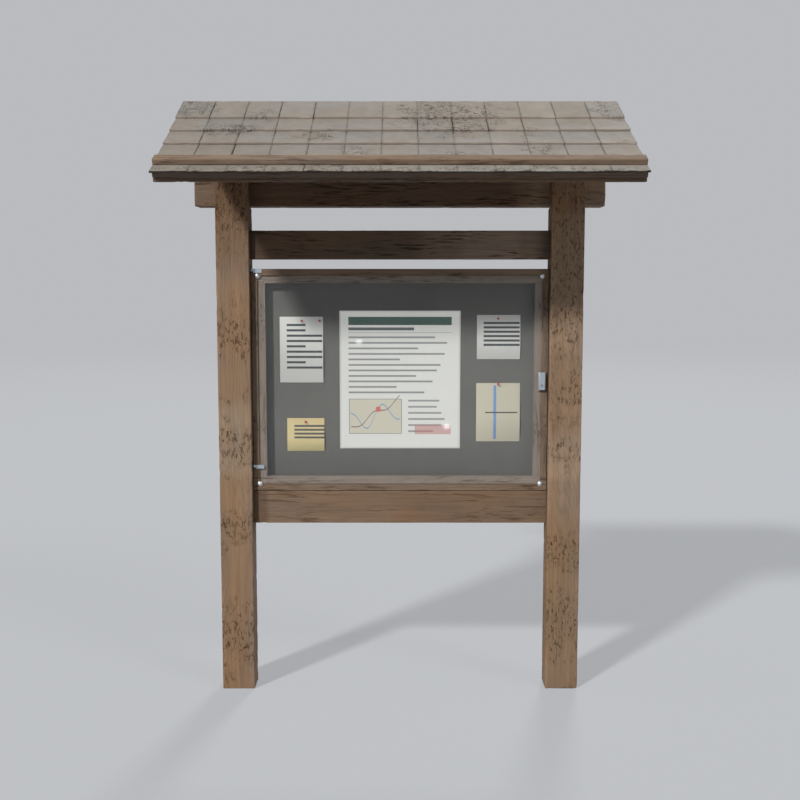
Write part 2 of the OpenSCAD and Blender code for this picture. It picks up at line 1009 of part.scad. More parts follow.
module needle_bores() {
    for (p = pin_spots)
        rod_y(p[0], board_mid_z + p[1], sheet_y - through, board_y + pin_board_t - needle_end,
            needle_d + 2*pin_fit);
}

module sheet(spot) {
    difference() {
        block([spot[0] - spot[2]/2, sheet_y, board_mid_z + spot[1] - spot[3]/2],
            [spot[0] + spot[2]/2, sheet_y + sheet_t, board_mid_z + spot[1] + spot[3]/2]);
        needle_bores();
    }
}

module poster() {
    color("#d2d3ce") sheet([poster_spot[0], poster_spot[1], poster_w, poster_h]);
}

module white_notices() {
    color("#cfd0cb")
        for (s = white_sheets)
            sheet(s);
}

module yellow_note() {
    color("#dcc98f") sheet(yellow_sheet);
}

module beige_notice() {
    color("#c6c2ac") sheet(beige_sheet);
}

// Map pins with a waisted head
module push_pins() {
    needle_l = seat + sheet_t + seat + pin_board_t - 2*needle_end;
    color("#7a2f3a")
        for (p = pin_spots)
            translate([p[0], sheet_y - seat, board_mid_z + p[1]])
                rotate([90, 0, 0]) {
                    rotate_extrude()
                        polygon([[0, 0], [pin_foot_r, 0], [pin_foot_r, pin_foot_h],
                            [pin_waist_r, pin_waist_h], [pin_waist_r, pin_head_l - pin_cap_h],
                            [pin_r, pin_head_l - pin_cap_h/2], [pin_foot_r, pin_head_l],
                            [0, pin_head_l]]);
                    translate([0, 0, -needle_l])
                        cylinder(d = needle_d, h = needle_l + needle_end);
                }
}

post_left();
post_right();
top_beam();
upper_rail();
lower_rail();
tie_left();
tie_centre();
tie_right();
rafter_front_left();
rafter_front_centre();
rafter_front_right();
rafter_rear_left();
rafter_rear_centre();
rafter_rear_right();
king_post_left();
king_post_right();
ridge_board();
eaves_board_front();
eaves_board_rear();
roof_boards_front();
roof_boards_rear();
shingles_front_1();
shingles_front_2();
shingles_front_3();
shingles_front_4();
shingles_rear_1();
shingles_rear_2();
shingles_rear_3();
shingles_rear_4();
ridge_shingles();
eaves_batten_front();
eaves_batten_rear();
case_side_left();
case_side_right();
case_top();
case_bottom();
case_back();
pin_board();
door_seal();
door_stile_left();
door_stile_right();
door_top_rail();
door_bottom_rail();
glass_pane();
pane_bolts();
pane_nuts();
hinge_leaves_post();
hinge_leaves_door();
hinge_pins();
lock_case();
lock_plug();
lock_cam();
striker_plate();
poster();
white_notices();
yellow_note();
beige_notice();
push_pins();
coach_screws();
truss_bolts();
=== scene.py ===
"""Outdoor notice board with a glazed case and a small gable roof.

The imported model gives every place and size. This script gives the timber its
worn edges, the roof its uneven shingles and the sheets their curl, and gives
each surface a finish. Everything is in metres: X along the board, Y from front
to back, Z up.
"""

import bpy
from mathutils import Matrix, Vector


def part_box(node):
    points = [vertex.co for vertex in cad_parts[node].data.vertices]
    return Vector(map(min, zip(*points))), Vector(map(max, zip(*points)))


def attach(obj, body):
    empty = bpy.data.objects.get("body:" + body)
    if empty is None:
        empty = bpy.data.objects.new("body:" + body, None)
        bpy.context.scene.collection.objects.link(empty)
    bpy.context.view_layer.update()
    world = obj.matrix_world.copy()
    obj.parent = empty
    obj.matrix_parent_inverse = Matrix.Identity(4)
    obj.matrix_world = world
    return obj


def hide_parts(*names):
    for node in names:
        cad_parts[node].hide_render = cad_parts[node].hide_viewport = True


bl_info = {
    "name": "Notice board",
    "version": (1, 0, 0),
    "blender": (4, 5, 0),
    "location": "View3D > Sidebar > Notice board",
    "description": "Worn timber, shingles, sheets and finishes for a roofed notice board",
    "category": "Object",
}

import math

import bpy
import numpy as np
from bpy.props import FloatProperty, FloatVectorProperty, IntProperty, PointerProperty
from mathutils import Vector
from mathutils.geometry import convex_hull_2d

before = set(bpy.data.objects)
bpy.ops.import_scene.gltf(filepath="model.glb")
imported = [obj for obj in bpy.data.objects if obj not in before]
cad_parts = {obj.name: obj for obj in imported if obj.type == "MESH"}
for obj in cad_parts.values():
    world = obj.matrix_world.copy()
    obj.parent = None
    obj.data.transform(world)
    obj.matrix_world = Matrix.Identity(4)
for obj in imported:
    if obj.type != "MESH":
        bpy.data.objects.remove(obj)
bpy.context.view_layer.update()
MM = 0.001
# Reach of the wear beside an edge, sizes of the noises that make chips and waves
EDGE = 5 * MM
CHIP_SIZES = 0.034, 0.012
WAVE_SIZE = 0.11
# What each group of timbers adds to the seed
SEEDS = {"posts": 0, "rails": 20, "trusses": 40, "boards": 60, "battens": 110}
# Place of the camera and its pitch below level
EYE = (0, -4.088, 1.526)
LOOK_DOWN = math.radians(6.14)


def tint(red, green, blue):
    """Screen colour from 0 to 255 as the linear colour that a socket holds."""
    return tuple(
        c / 12.92 if c <= 0.04045 else ((c + 0.055) / 1.055) ** 2.4
        for c in (red / 255, green / 255, blue / 255)
    )


# ---- Settings a user would change


def colour(label, text, rgb):
    """A colour setting whose default is a screen colour."""
    return FloatVectorProperty(
        name=label, description=text, subtype="COLOR", size=3, min=0, max=1, default=tint(*rgb)
    )


def length(label, text, value):
    """A length setting in metres."""
    return FloatProperty(name=label, description=text, unit="LENGTH", min=0, default=value)


def amount(label, text, value, top=1.0):
    """A plain number setting from 0 up to top."""
    return FloatProperty(name=label, description=text, min=0, max=top, default=value)


class TimberSettings(bpy.types.PropertyGroup):
    """Colours and wear of the timber."""

    post_tone: colour("Posts", "Colour of the posts", (130, 105, 81))
    beam_tone: colour("Beam", "Colour of the top beam", (107, 86, 67))
    rail_tone: colour("Rails", "Colour of the two rails", (113, 93, 76))
    door_tone: colour("Door frame", "Colour of the door frame", (118, 98, 79))
    batten_tone: colour("Battens", "Colour of the battens on the eaves", (124, 105, 88))
    roof_tone: colour("Roof timber", "Colour of the boards and trusses", (90, 74, 61))
    eaves_tone: colour("Eaves boards", "Colour of the boards under the eaves", (92, 75, 60))
    case_tone: colour("Case", "Colour of the case walls", (104, 88, 72))
    arris: length("Edge radius", "Radius of a worn edge", 0.003)
    wear: length("Wear", "Depth of the deepest chips on an edge", 0.0024)
    wave: length("Wave", "Depth of the slow waves in a face", 0.0003)
    station: length("Station", "Spacing of the sections along a timber", 0.012)
    seed: IntProperty(name="Seed", description="Start of the random wear", default=11)


class RoofSettings(bpy.types.PropertyGroup):
    """Colours and unevenness of the shingles."""

    tone: colour("Shingles", "Main colour of the shingles", (139, 134, 127))
    stain: colour("Stain", "Colour of the cracks and spots", (62, 54, 46))
    pitch: FloatProperty(
        name="Pitch", description="Slope of the roof", subtype="ANGLE", default=math.radians(27.5)
    )
    lift: length("Lift", "Most that a lower corner stands up", 0.0018)
    chips: length("Chips", "Depth of the bites in the lower edges", 0.004)
    seed: IntProperty(name="Seed", description="Start of the random unevenness", default=5)


class CaseSettings(bpy.types.PropertyGroup):
    """Colours of the case's lining, glass and sheets."""

    felt: colour("Felt", "Colour of the pin board", (96, 95, 92))
    paper: colour("Paper", "Colour of the poster and white notices", (212, 212, 208))
    yellow: colour("Yellow note", "Colour of the yellow note", (205, 187, 139))
    beige: colour("Beige notice", "Colour of the beige notice", (190, 184, 165))
    pin: colour("Pins", "Colour of the pin heads", (172, 58, 56))
    curl: length("Curl", "How far the sheets belly off the board", 0.005)


class MetalSettings(bpy.types.PropertyGroup):
    """Colours of the metalwork."""

    zinc: colour("Zinc", "Colour of the lock case and the hinges", (176, 184, 192))
    steel: colour("Steel", "Colour of the screws, bolts and nuts", (150, 152, 153))
    dome: colour("Domed heads", "Colour of the polished bolt heads", (205, 206, 206))
    plug: colour("Key plug", "Colour of the key plug", (172, 172, 168))
    bevel: length("Bevel", "Softening of the metal edges", 0.0005)


class StageSettings(bpy.types.PropertyGroup):
    """Light, floor and camera."""

    floor: colour("Floor", "Colour of the floor", (184, 186, 189))
    backdrop: colour("Backdrop", "Colour behind the board", (186, 187, 191))
    key: amount("Key light", "Strength of the light from the front left", 3.3, 20)
    fill: amount("Fill light", "Strength of the light from the front right", 0.42, 20)
    rim: amount("Rim light", "Strength of the light from behind", 1.5, 20)
    ambient: amount("Ambient", "Strength of the light from all around", 0.19, 5)
    lens: FloatProperty(name="Lens", description="Focal length in millimetres", default=50)


# ---- Shapes worked out with numpy

# Large primes that scatter the cells of a lattice over a table of this many values
PRIMES = np.array([73856093, 19349663, 83492791])
TABLE = 4096


def noise(points, size, seed):
    """Smooth noise from -1 to 1: random values on a cubic lattice of this size,
    blended between the eight corners round each point with 3t^2 - 2t^3."""
    q = points / size
    cell = np.floor(q).astype(np.int64)
    f = q - cell
    f = f * f * (3 - 2 * f)
    table = np.random.default_rng(seed).uniform(-1, 1, TABLE)
    total = np.zeros(points.shape[:-1])
    for corner in np.ndindex(2, 2, 2):
        key = np.bitwise_xor.reduce((cell + np.array(corner)) * PRIMES, axis=-1)
        part = np.where(np.array(corner) == 1, f, 1 - f).prod(-1)
        total += part * table[key & (TABLE - 1)]
    return total


def smooth(low, high, x):
    """0 below low, 1 above high and 3t^2 - 2t^3 between them."""
    t = np.clip((x - low) / (high - low), 0, 1)
    return t * t * (3 - 2 * t)


def grid_faces(rows, columns, ring):
    """Quads between the points of a grid; a ring also joins its last row to its first."""
    i = np.arange(rows if ring else rows - 1)[:, None]
    j = np.arange(columns - 1)[None, :]
    a, b = i * columns + j, (i + 1) % rows * columns + j
    return np.stack([a, b, b + 1, a + 1], -1).reshape(-1, 4)


def placed(name, data):
    """A new object at the origin that shows this data."""
    made = bpy.data.objects.new(name, data)
    bpy.context.scene.collection.objects.link(made)
    return made


class Shells:
    """Closed surfaces that together make one piece, with values at their points."""

    def __init__(self):
        self.points, self.faces, self.values, self.count = [], [], {}, 0

    def add(self, points, faces, **values):
        """Adds one closed surface. Each value is one number or one for each point."""
        self.points.append(points)
        self.faces += [[int(k) + self.count for k in face] for face in faces]
        self.count += len(points)
        for name, value in values.items():
            whole = np.broadcast_to(np.asarray(value, float), (len(points),))
            self.values.setdefault(name, []).append(whole)

    def piece(self, kind, node, finish, slot, sharp=38):
        """The object that these surfaces make. It stands for a CAD node and is
        fixed to the stand."""
        name = f"{kind}_{node}"
        mesh = bpy.data.meshes.new(name)
        mesh.from_pydata(np.concatenate(self.points), [], self.faces)
        for key, parts in self.values.items():
            layer = mesh.attributes.new(key, "FLOAT", "POINT")
            layer.data.foreach_set("value", np.concatenate(parts).astype(np.float32))
        mesh.materials.append(finish)
        mesh.shade_smooth()
        mesh.set_sharp_from_angle(angle=math.radians(sharp))
        made = placed(name, mesh)
        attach(made, "stand")
        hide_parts(node)


def node_points(node):
    """The points of each separate solid of a CAD node, from the left."""
    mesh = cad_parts[node].data
    points = np.empty(len(mesh.vertices) * 3)
    mesh.vertices.foreach_get("co", points)
    points = points.reshape(-1, 3)
    corners = np.empty(len(mesh.loops), int)
    mesh.loops.foreach_get("vertex_index", corners)
    _, first, same = np.unique(
        np.round(points * 1e5).astype(int), axis=0, return_index=True, return_inverse=True
    )
    faces = same.reshape(-1)[corners].reshape(-1, 3)
    label = np.arange(len(first))
    while True:  # each point takes the lowest label of its faces until none changes
        lower = label.copy()
        np.minimum.at(lower, faces.ravel(), np.repeat(label[faces].min(1), 3))
        if (lower == label).all():
            break
        label = lower
    solids = [points[first][label == k] for k in np.unique(label)]
    return sorted(solids, key=lambda solid: solid[:, 0].min())


AXES = {"X": (1, 2, 0), "Y": (2, 0, 1), "Z": (0, 1, 2)}


def outline(points, axis):
    """The outline of a solid seen along an axis, counter-clockwise, without the
    points that lie on a straight side. The hull has two neighbours swapped for the
    rear rafters and the highest rear board, whose sections cross for that reason;
    sorting its points by their angle about the middle would mend them."""
    a, b, _ = AXES[axis]
    flat = np.unique(np.round(points[:, [a, b]], 6), axis=0)
    hull = flat[convex_hull_2d([Vector(p) for p in flat])]
    after, before = np.roll(hull, -1, 0) - hull, hull - np.roll(hull, 1, 0)
    turn = before[:, 0] * after[:, 1] - before[:, 1] * after[:, 0]
    kept = np.abs(turn) > 1e-8
    hull = hull[kept]
    return hull if turn[kept].sum() > 0 else hull[::-1]


def rounded(section, radius, step=0.025):
    """A section, counter-clockwise, with rounded corners: its points, outward
    normals and how near each point is to a corner, from 1 on it to 0 about 10 mm
    away. Four angles turn the normal of the side before a corner into the next
    one's, to the left or, at a hollow corner, to the right."""
    before = [side / np.linalg.norm(side) for side in section - np.roll(section, 1, 0)]
    before, after = np.array(before), np.roll(before, -1, 0)
    turns = [math.atan2(p[0] * q[1] - p[1] * q[0], p @ q) for p, q in zip(before, after)]
    cut = radius * np.array([[math.tan(abs(turn) / 2)] for turn in turns])
    starts, stops = section + after * cut, np.roll(section - before * cut, -1, 0)
    points, normals, near = [], [], []
    for k, (start, stop, side) in enumerate(zip(starts, stops, after)):
        angles = math.atan2(-before[k, 0], before[k, 1]) + np.linspace(0, turns[k], 4)
        arc = np.stack([np.cos(angles), np.sin(angles)], 1)
        run = np.linalg.norm(stop - start)
        inset = np.array([2.5, 6, 12]) * MM
        inset = inset[inset < run * 0.4]
        inner = np.linspace(0, run, max(2, int(run / step) + 1))[1:-1]
        if len(inset):
            margin = inset[-1] * 1.3
            inner = inner[(inner > margin) & (inner < run - margin)]
        at = np.concatenate([inset, inner, run - inset[::-1]])
        bulge = (arc - arc[-1]) * radius * np.sign(turns[k])
        points += [start + bulge, start + at[:, None] * side]
        normals += [arc, np.tile([side[1], -side[0]], (len(at), 1))]
        near += [np.ones(len(arc)), np.exp(-((np.minimum(at, run - at) / EDGE) ** 2))]
    return np.concatenate(points), np.concatenate(normals), np.concatenate(near)


def timber(shells, section, axis, low, high, settings, seed, reshape=None, tone=None):
    """A length of worn timber: the rounded section carried along the axis from
    low to high, drawn in over the last millimetres at each end by a quarter
    circle, and pressed inward along its normal by a slow wave and by chips,
    where two noises together pass a threshold near a corner."""
    thick = np.ptp(section, axis=0).min()
    radius = min(settings.arris, thick * 0.2)
    points, normals, near = rounded(section, radius)
    steps = max(3, round((high - low) / settings.station))
    body = np.linspace(low + radius, high - radius, steps)
    bend = np.radians([0, 35, 65])
    ends = radius * (1 - np.cos(bend)), radius * (1 - np.sin(bend))
    at = np.concatenate([low + ends[0], body, high - ends[0][::-1]])
    inset = np.concatenate([ends[1], np.zeros(steps), ends[1][::-1]])
    flat = points[:, None, :] - normals[:, None, :] * inset[None, :, None]
    a, b, t = AXES[axis]
    place = np.empty(flat.shape[:2] + (3,))
    place[..., a], place[..., b], place[..., t] = flat[..., 0], flat[..., 1], at
    outward = np.zeros_like(place)
    outward[..., a], outward[..., b] = normals[:, None, 0], normals[:, None, 1]
    to_end = np.exp(-((np.minimum(at - low, high - at) / EDGE) ** 2))
    edge = np.maximum(near[:, None], to_end[None, :] * 0.8)
    large, small = (noise(place, size, seed + k) for k, size in enumerate(CHIP_SIZES))
    chips = large + 0.7 * small
    chips = smooth(0.35, 1.1, chips) * edge * settings.wear
    wave = (0.5 + 0.5 * noise(place, WAVE_SIZE, seed + 2)) * settings.wave
    place = place - outward * (chips + wave)[..., None]
    place[..., t] += np.where(at < (low + high) / 2, 1, -1) * to_end * chips * 0.7
    if reshape:
        place = reshape(place)
    rings, columns = place.shape[:2]
    faces = list(grid_faces(rings, columns, True))
    ring = np.arange(rings) * columns
    faces += [ring[::-1], ring + columns - 1]
    end = np.zeros((rings, columns))
    end[:, [0, -1]] = 1
    if tone is None:
        tone = np.random.default_rng(seed).uniform(0, 1)
    shells.add(place.reshape(-1, 3), faces, edge=edge.ravel(), end=end.ravel(), tone=tone)


def box_timber(node, axis, ends, settings, seed, finish, slot, reshape=None):
    """The worn timber that stands for a CAD node with a square-cut box."""
    low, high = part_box(node)
    a, b, _ = AXES[axis]
    sides = ((low, low), (high, low), (high, high), (low, high))
    section = np.array([(p[a], q[b]) for p, q in sides])
    shells = Shells()
    timber(shells, section, axis, *ends, settings, seed, reshape, 0.5)
    shells.piece("worn", node, finish, slot)


def node_timbers(settings, group, rows, slot, stride=1):
    """The worn timbers of a group. Each row names a CAD node made of straight
    lengths, the axis they are carried along and their finish."""
    for k, (node, axis, finish) in enumerate(rows):
        shells, seed = Shells(), settings.seed + SEEDS[group] + stride * k
        for j, points in enumerate(node_points(node)):
            run = points[:, AXES[axis][2]]
            ends = run.min(), run.max()
            timber(shells, outline(points, axis), axis, *ends, settings, seed + 7 * j)
        shells.piece("worn", node, finish, slot)


def slab_faces(rows, columns):
    """Faces of a closed slab: a top grid, a bottom grid that follows it in the
    list of points, and the wall between their edges."""
    top = grid_faces(rows, columns, False)
    under = top[:, ::-1] + rows * columns
    index = np.arange(rows * columns).reshape(rows, columns)
    loop = np.concatenate([index[:-1, 0], index[-1, :-1], index[:0:-1, -1], index[0, :0:-1]])
    after = np.roll(loop, -1)
    wall = np.stack([after, loop, loop + rows * columns, after + rows * columns], 1)
    return np.concatenate([top, under, wall])


def add_slabs(shells, top, under, **values):
    """Adds closed slabs whose tops and undersides are grids, one slab for each
    first index, and turns the faces outward by the sign of the volume, which is
    the sum of the determinants of their triangles."""
    count, rows, columns = top.shape[:3]
    faces = slab_faces(rows, columns)
    for k in range(count):
        points = np.concatenate([top[k].reshape(-1, 3), under[k].reshape(-1, 3)])
        p = points[faces]
        volume = np.linalg.det(p[:, :3]).sum() + np.linalg.det(p[:, [0, 2, 3]]).sum()
        own = {
            name: np.concatenate([v[k].ravel()] * 2) if np.ndim(v[k]) else v[k]
            for name, v in values.items()
        }
        shells.add(points, faces if volume > 0 else faces[:, ::-1], **own)


# ---- Finishes


class Wire:
    """An output socket that takes sums: each one adds its Math node. For masks,
    a | b is the greater of the two and a & b the lesser."""

    def __init__(self, graph, socket):
        self.graph, self.socket = graph, socket

    def __add__(self, other):
        return self.graph.maths("ADD", self, other)

    def __sub__(self, other):
        return self.graph.maths("SUBTRACT", self, other)

    def __rsub__(self, other):
        return self.graph.maths("SUBTRACT", other, self)

    def __mul__(self, other):
        return self.graph.maths("MULTIPLY", self, other)

    def __truediv__(self, other):
        return self.graph.maths("DIVIDE", self, other)

    def __pow__(self, other):
        return self.graph.maths("POWER", self, other)

    def __or__(self, other):
        return self.graph.maths("MAXIMUM", self, other)

    def __and__(self, other):
        return self.graph.maths("MINIMUM", self, other)

    def __lt__(self, other):
        return self.graph.maths("LESS_THAN", self, other)

    def __gt__(self, other):
        return self.graph.maths("GREATER_THAN", self, other)

    def __abs__(self):
        return self.graph.maths("ABSOLUTE", self)

    __radd__, __rmul__, __ror__, __rand__ = __add__, __mul__, __or__, __and__


class Graph:
    """The nodes of a material or of the world."""

    def __init__(self, tree, output):
        self.tree, self.output = tree, tree.nodes[output]

    def node(self, kind, settings=None, inputs=None, output=0):
        """Any node: its type, its settings, the values or links of its sockets, and
        which of its outputs comes back."""
        made = self.tree.nodes.new(kind)
        for name, value in (settings or {}).items():
            if name == "stops":
                ramp = made.color_ramp.elements
                while len(ramp) < len(value):
                    ramp.new(1)
                for stop, (at, grey) in zip(ramp, value):
                    stop.position, stop.color = at, (grey, grey, grey, 1)
            elif name == "ramp":
                made.color_ramp.interpolation = value
            else:
                setattr(made, name, value)
        for key, value in (inputs or {}).items():
            if isinstance(value, Wire):
                self.tree.links.new(value.socket, made.inputs[key])
            else:
                made.inputs[key].default_value = value
        return Wire(self, made.outputs[output])

    def maths(self, operation, *values):
        return self.node("ShaderNodeMath", {"operation": operation}, dict(enumerate(values)))

    def show(self, share, first, second):
        """Shows the first shader where the share is 0 and the second where it is 1."""
        mixed = self.node("ShaderNodeMixShader", None, {0: share, 1: first, 2: second})
        self.tree.links.new(mixed.socket, self.output.inputs[0])


class Finish(Graph):
    """A material with one Principled surface, and the nodes that feed it."""

    def __init__(self, name, **sockets):
        self.material = bpy.data.materials.new(name)
        self.material.use_nodes = True
        super().__init__(self.material.node_tree, "Material Output")
        self.surface = self.tree.nodes["Principled BSDF"]
        for key, value in sockets.items():
            self.surface.inputs[key.replace("_", " ")].default_value = value

    def position(self, turn=(0, 0, 0), shift=(0, 0, 0)):
        """Object coordinates, turned and shifted, as a vector."""
        here = self.node("ShaderNodeTexCoord", output="Object")
        inputs = {"Vector": here, "Location": shift, "Rotation": turn}
        return self.node("ShaderNodeMapping", {"vector_type": "TEXTURE"}, inputs)

    def split(self, vector):
        parts = self.node("ShaderNodeSeparateXYZ", None, {0: vector})
        return [Wire(self, socket) for socket in parts.socket.node.outputs]

    def join(self, x, y, z):
        return self.node("ShaderNodeCombineXYZ", None, {0: x, 1: y, 2: z})

    def noise(self, vector, scale=1.0, detail=2.0, rough=0.5, bend=0.0, output=0):
        """Noise from 0 to 1 with its mean near a half."""
        inputs = {"Vector": vector, "Scale": scale, "Detail": detail}
        inputs |= {"Roughness": rough, "Distortion": bend}
        return self.node("ShaderNodeTexNoise", None, inputs, output)

    def cracks(self, vector, scale):
        """Distance from the edges of a cell pattern."""
        settings = {"feature": "DISTANCE_TO_EDGE"}
        return self.node("ShaderNodeTexVoronoi", settings, {"Vector": vector, "Scale": scale})

    def warp(self, vector, scale, reach):
        """The vector pushed about by a noise of this scale, by up to reach."""
        cloud = self.noise(vector, scale, output="Color")
        inputs = {0: cloud, 1: (reach,) * 3, 2: vector}
        return self.node("ShaderNodeVectorMath", {"operation": "MULTIPLY_ADD"}, inputs)

    def step(self, value, low, high):
        """0 below low, 1 above high, smooth between; low may be the greater."""
        ends = (0.0, 1.0) if low <= high else (1.0, 0.0)
        inputs = {"Value": value, "From Min": min(low, high), "From Max": max(low, high)}
        inputs |= {"To Min": ends[0], "To Max": ends[1]}
        return self.node("ShaderNodeMapRange", {"interpolation_type": "SMOOTHSTEP"}, inputs)

    def attribute(self, name):
        return self.node("ShaderNodeAttribute", {"attribute_name": name}, output="Fac")

    def mix(self, factor, a, b, blend="MIX"):
        """Colour a where the factor is 0 and colour b where it is 1."""
        inputs = {0: factor}
        for key, value in ((6, a), (7, b)):
            inputs[key] = value if isinstance(value, Wire) else (*value, 1)
        settings = {"data_type": "RGBA", "blend_type": blend}
        return self.node("ShaderNodeMix", settings, inputs, 2)

    def scale(self, tone, value):
        """A colour made lighter or darker by a number."""
        if not isinstance(tone, Wire):
            tone = self.mix(0.0, tone, tone)
        return self.node("ShaderNodeVectorMath", {"operation": "SCALE"}, {0: tone, "Scale": value})

    def feed(self, **wires):
        """Links wires into the surface by the names of its sockets."""
        for key, wire in wires.items():
            self.tree.links.new(wire.socket, self.surface.inputs[key.replace("_", " ")])

    def bump(self, height, strength, depth):
        """Height from about 0 to 1 as relief of this depth in metres."""
        inputs = {"Height": height, "Strength": strength, "Distance": depth}
        self.feed(Normal=self.node("ShaderNodeBump", None, inputs))


def between(value, low, high):
    """A mask that is 1 where the value lies between the two."""
    return (value > low) * (value < high)


def toned(tone, *shares):
    """A colour with each of its parts multiplied by its share."""
    return tuple(min(1, c * k) for c, k in zip(tone, shares))


def greyed(tone, share):
    """A colour drawn towards its own grey by this share."""
    return tuple(sum(tone) / 3 * share + c * (1 - share) for c in tone)


def wood_finish(
    name, tone, grain, turn=(0, 0, 0), marks=0.0, dashes=0.0, worms=(), painted_haze=None, shades=()
):
    """Weathered timber. The colour runs between a warm and a greyed tone in
    broad patches, with streaks, growth rings and fibres drawn out along the
    grain. Worm strokes are the thin bands in which a drawn-out noise passes a
    half, broken up by a second noise and gathered in clouded clusters: worms
    gives the height and the reach of the large ones. Dashes are dark splits
    along the grain. The painted haze gives the half width, bottom and top of a
    rectangle, and how much greyer and how many times lighter the wood is in it:
    painted light that stands in for the sheen of the glass over the door frame.
    Each of the shades gives four places along the timber, from which its shares
    of the colour set in, hold, fade and end; several of them are painted shade."""
    f = Finish(name, Roughness=0.85, Specular_IOR_Level=0.25)
    draw = np.random.default_rng(len(name) * 7 + ord(name[-6]))
    shift = tuple(float(k) for k in draw.uniform(-3, 3, 3))
    x, y, z = f.split(f.position(turn, shift))
    u, v, w = {"X": (y, z, x), "Y": (z, x, y), "Z": (x, y, z)}[grain]

    def drawn(across, along):
        return f.join(u * across, v * across, w * along)

    patch = f.noise(drawn(7, 1.5), detail=3)
    streak = f.noise(drawn(95, 3.0), detail=5, rough=0.7)
    fibre = f.noise(drawn(480, 12), detail=3, rough=0.6)
    rings = f.maths("SINE", f.noise(drawn(9, 0.7), detail=1) * 300) * 0.5 + 0.5
    rings = rings**4
    end, edge, spread = (f.attribute(key) for key in ("end", "edge", "tone"))

    cloud = f.noise(drawn(16, 9), detail=3)
    crowd = f.step(cloud + edge * 0.05, 0.56, 0.66) * 0.7
    side, _, height = f.split(f.position())
    for middle, reach in worms:
        away = abs(height - middle) / reach + (cloud - 0.5) * 3.4
        crowd = crowd | f.step(away, 1.15, 0.45)
    wander = abs(f.noise(drawn(92, 30), detail=1.5, bend=0.5) - 0.5)
    stroke = f.step(wander, 0.060, 0.012) * f.step(f.noise(drawn(64, 34), detail=2), 0.48, 0.58)
    fleck = f.step(f.noise(drawn(150, 50), detail=2), 0.59, 0.69)
    strokes = (stroke | fleck * 0.75) * (crowd * 0.95 + 0.05) * marks
    split = f.step(f.noise(drawn(135, 11), detail=3, rough=0.6), 0.52, 0.62)
    split = split * f.step(f.noise(drawn(16, 3.4), detail=3), 0.44, 0.58) * dashes

    warm = toned(tone, 1.05, 1.00, 0.93)
    base = f.mix(f.step(patch, 0.32, 0.68), warm, greyed(tone, 0.22))
    light = 0.43 + streak * 0.86 + fibre * 0.34 - rings * 0.11 + edge * 0.08
    light = light * (0.93 + spread * 0.14) * (1 - end * 0.25) * (1 - crowd * marks * 0.08)
    base = f.scale(base, light)
    # Painted light: inside the pane's rectangle the wood is made greyer and lighter, for the sheen
    # of the glass over it
    if painted_haze:
        half, low, high, grey, gain = painted_haze
        inside = (abs(side) < half) * between(height, low, high)
        base = f.mix(inside, base, f.scale(greyed(tone, grey), light * gain))
    # Several of the shades are painted shade under the roof and beside the posts
    along = height if grain == "Z" else side
    for start, full, fading, stop, shares in shades:
        reached = f.step(along, start, full) * f.step(along, stop, fading)
        base = f.mix(reached, base, shares, "MULTIPLY")
    dark = f.mix(1.0, base, (0.35, 0.27, 0.20), "MULTIPLY")
    base = f.mix(strokes * 0.95 + split * 0.85 & 1.0, base, dark)
    f.feed(Base_Color=base)
    relief = streak * 0.5 + fibre * 0.4 - rings * 0.2 - strokes * 1.2 - split * 0.8
    f.bump(relief, 0.6, 0.002)
    return f.material


# Crackled patches of the front slope in metres: middle x and y, reach along x and y
PATCHES = (
    (0.17, -0.15, 0.22, 0.17),
    (-0.72, -0.07, 0.09, 0.10),
    (-0.27, -0.31, 0.09, 0.06),
    (0.455, -0.42, 0.07, 0.06),
    (0.73, -0.08, 0.07, 0.09),
    (-0.56, -0.25, 0.10, 0.04),
    (-0.24, -0.57, 0.09, 0.05),
    (0.34, -0.57, 0.04, 0.05),
    (0.45, -0.57, 0.06, 0.05),
)


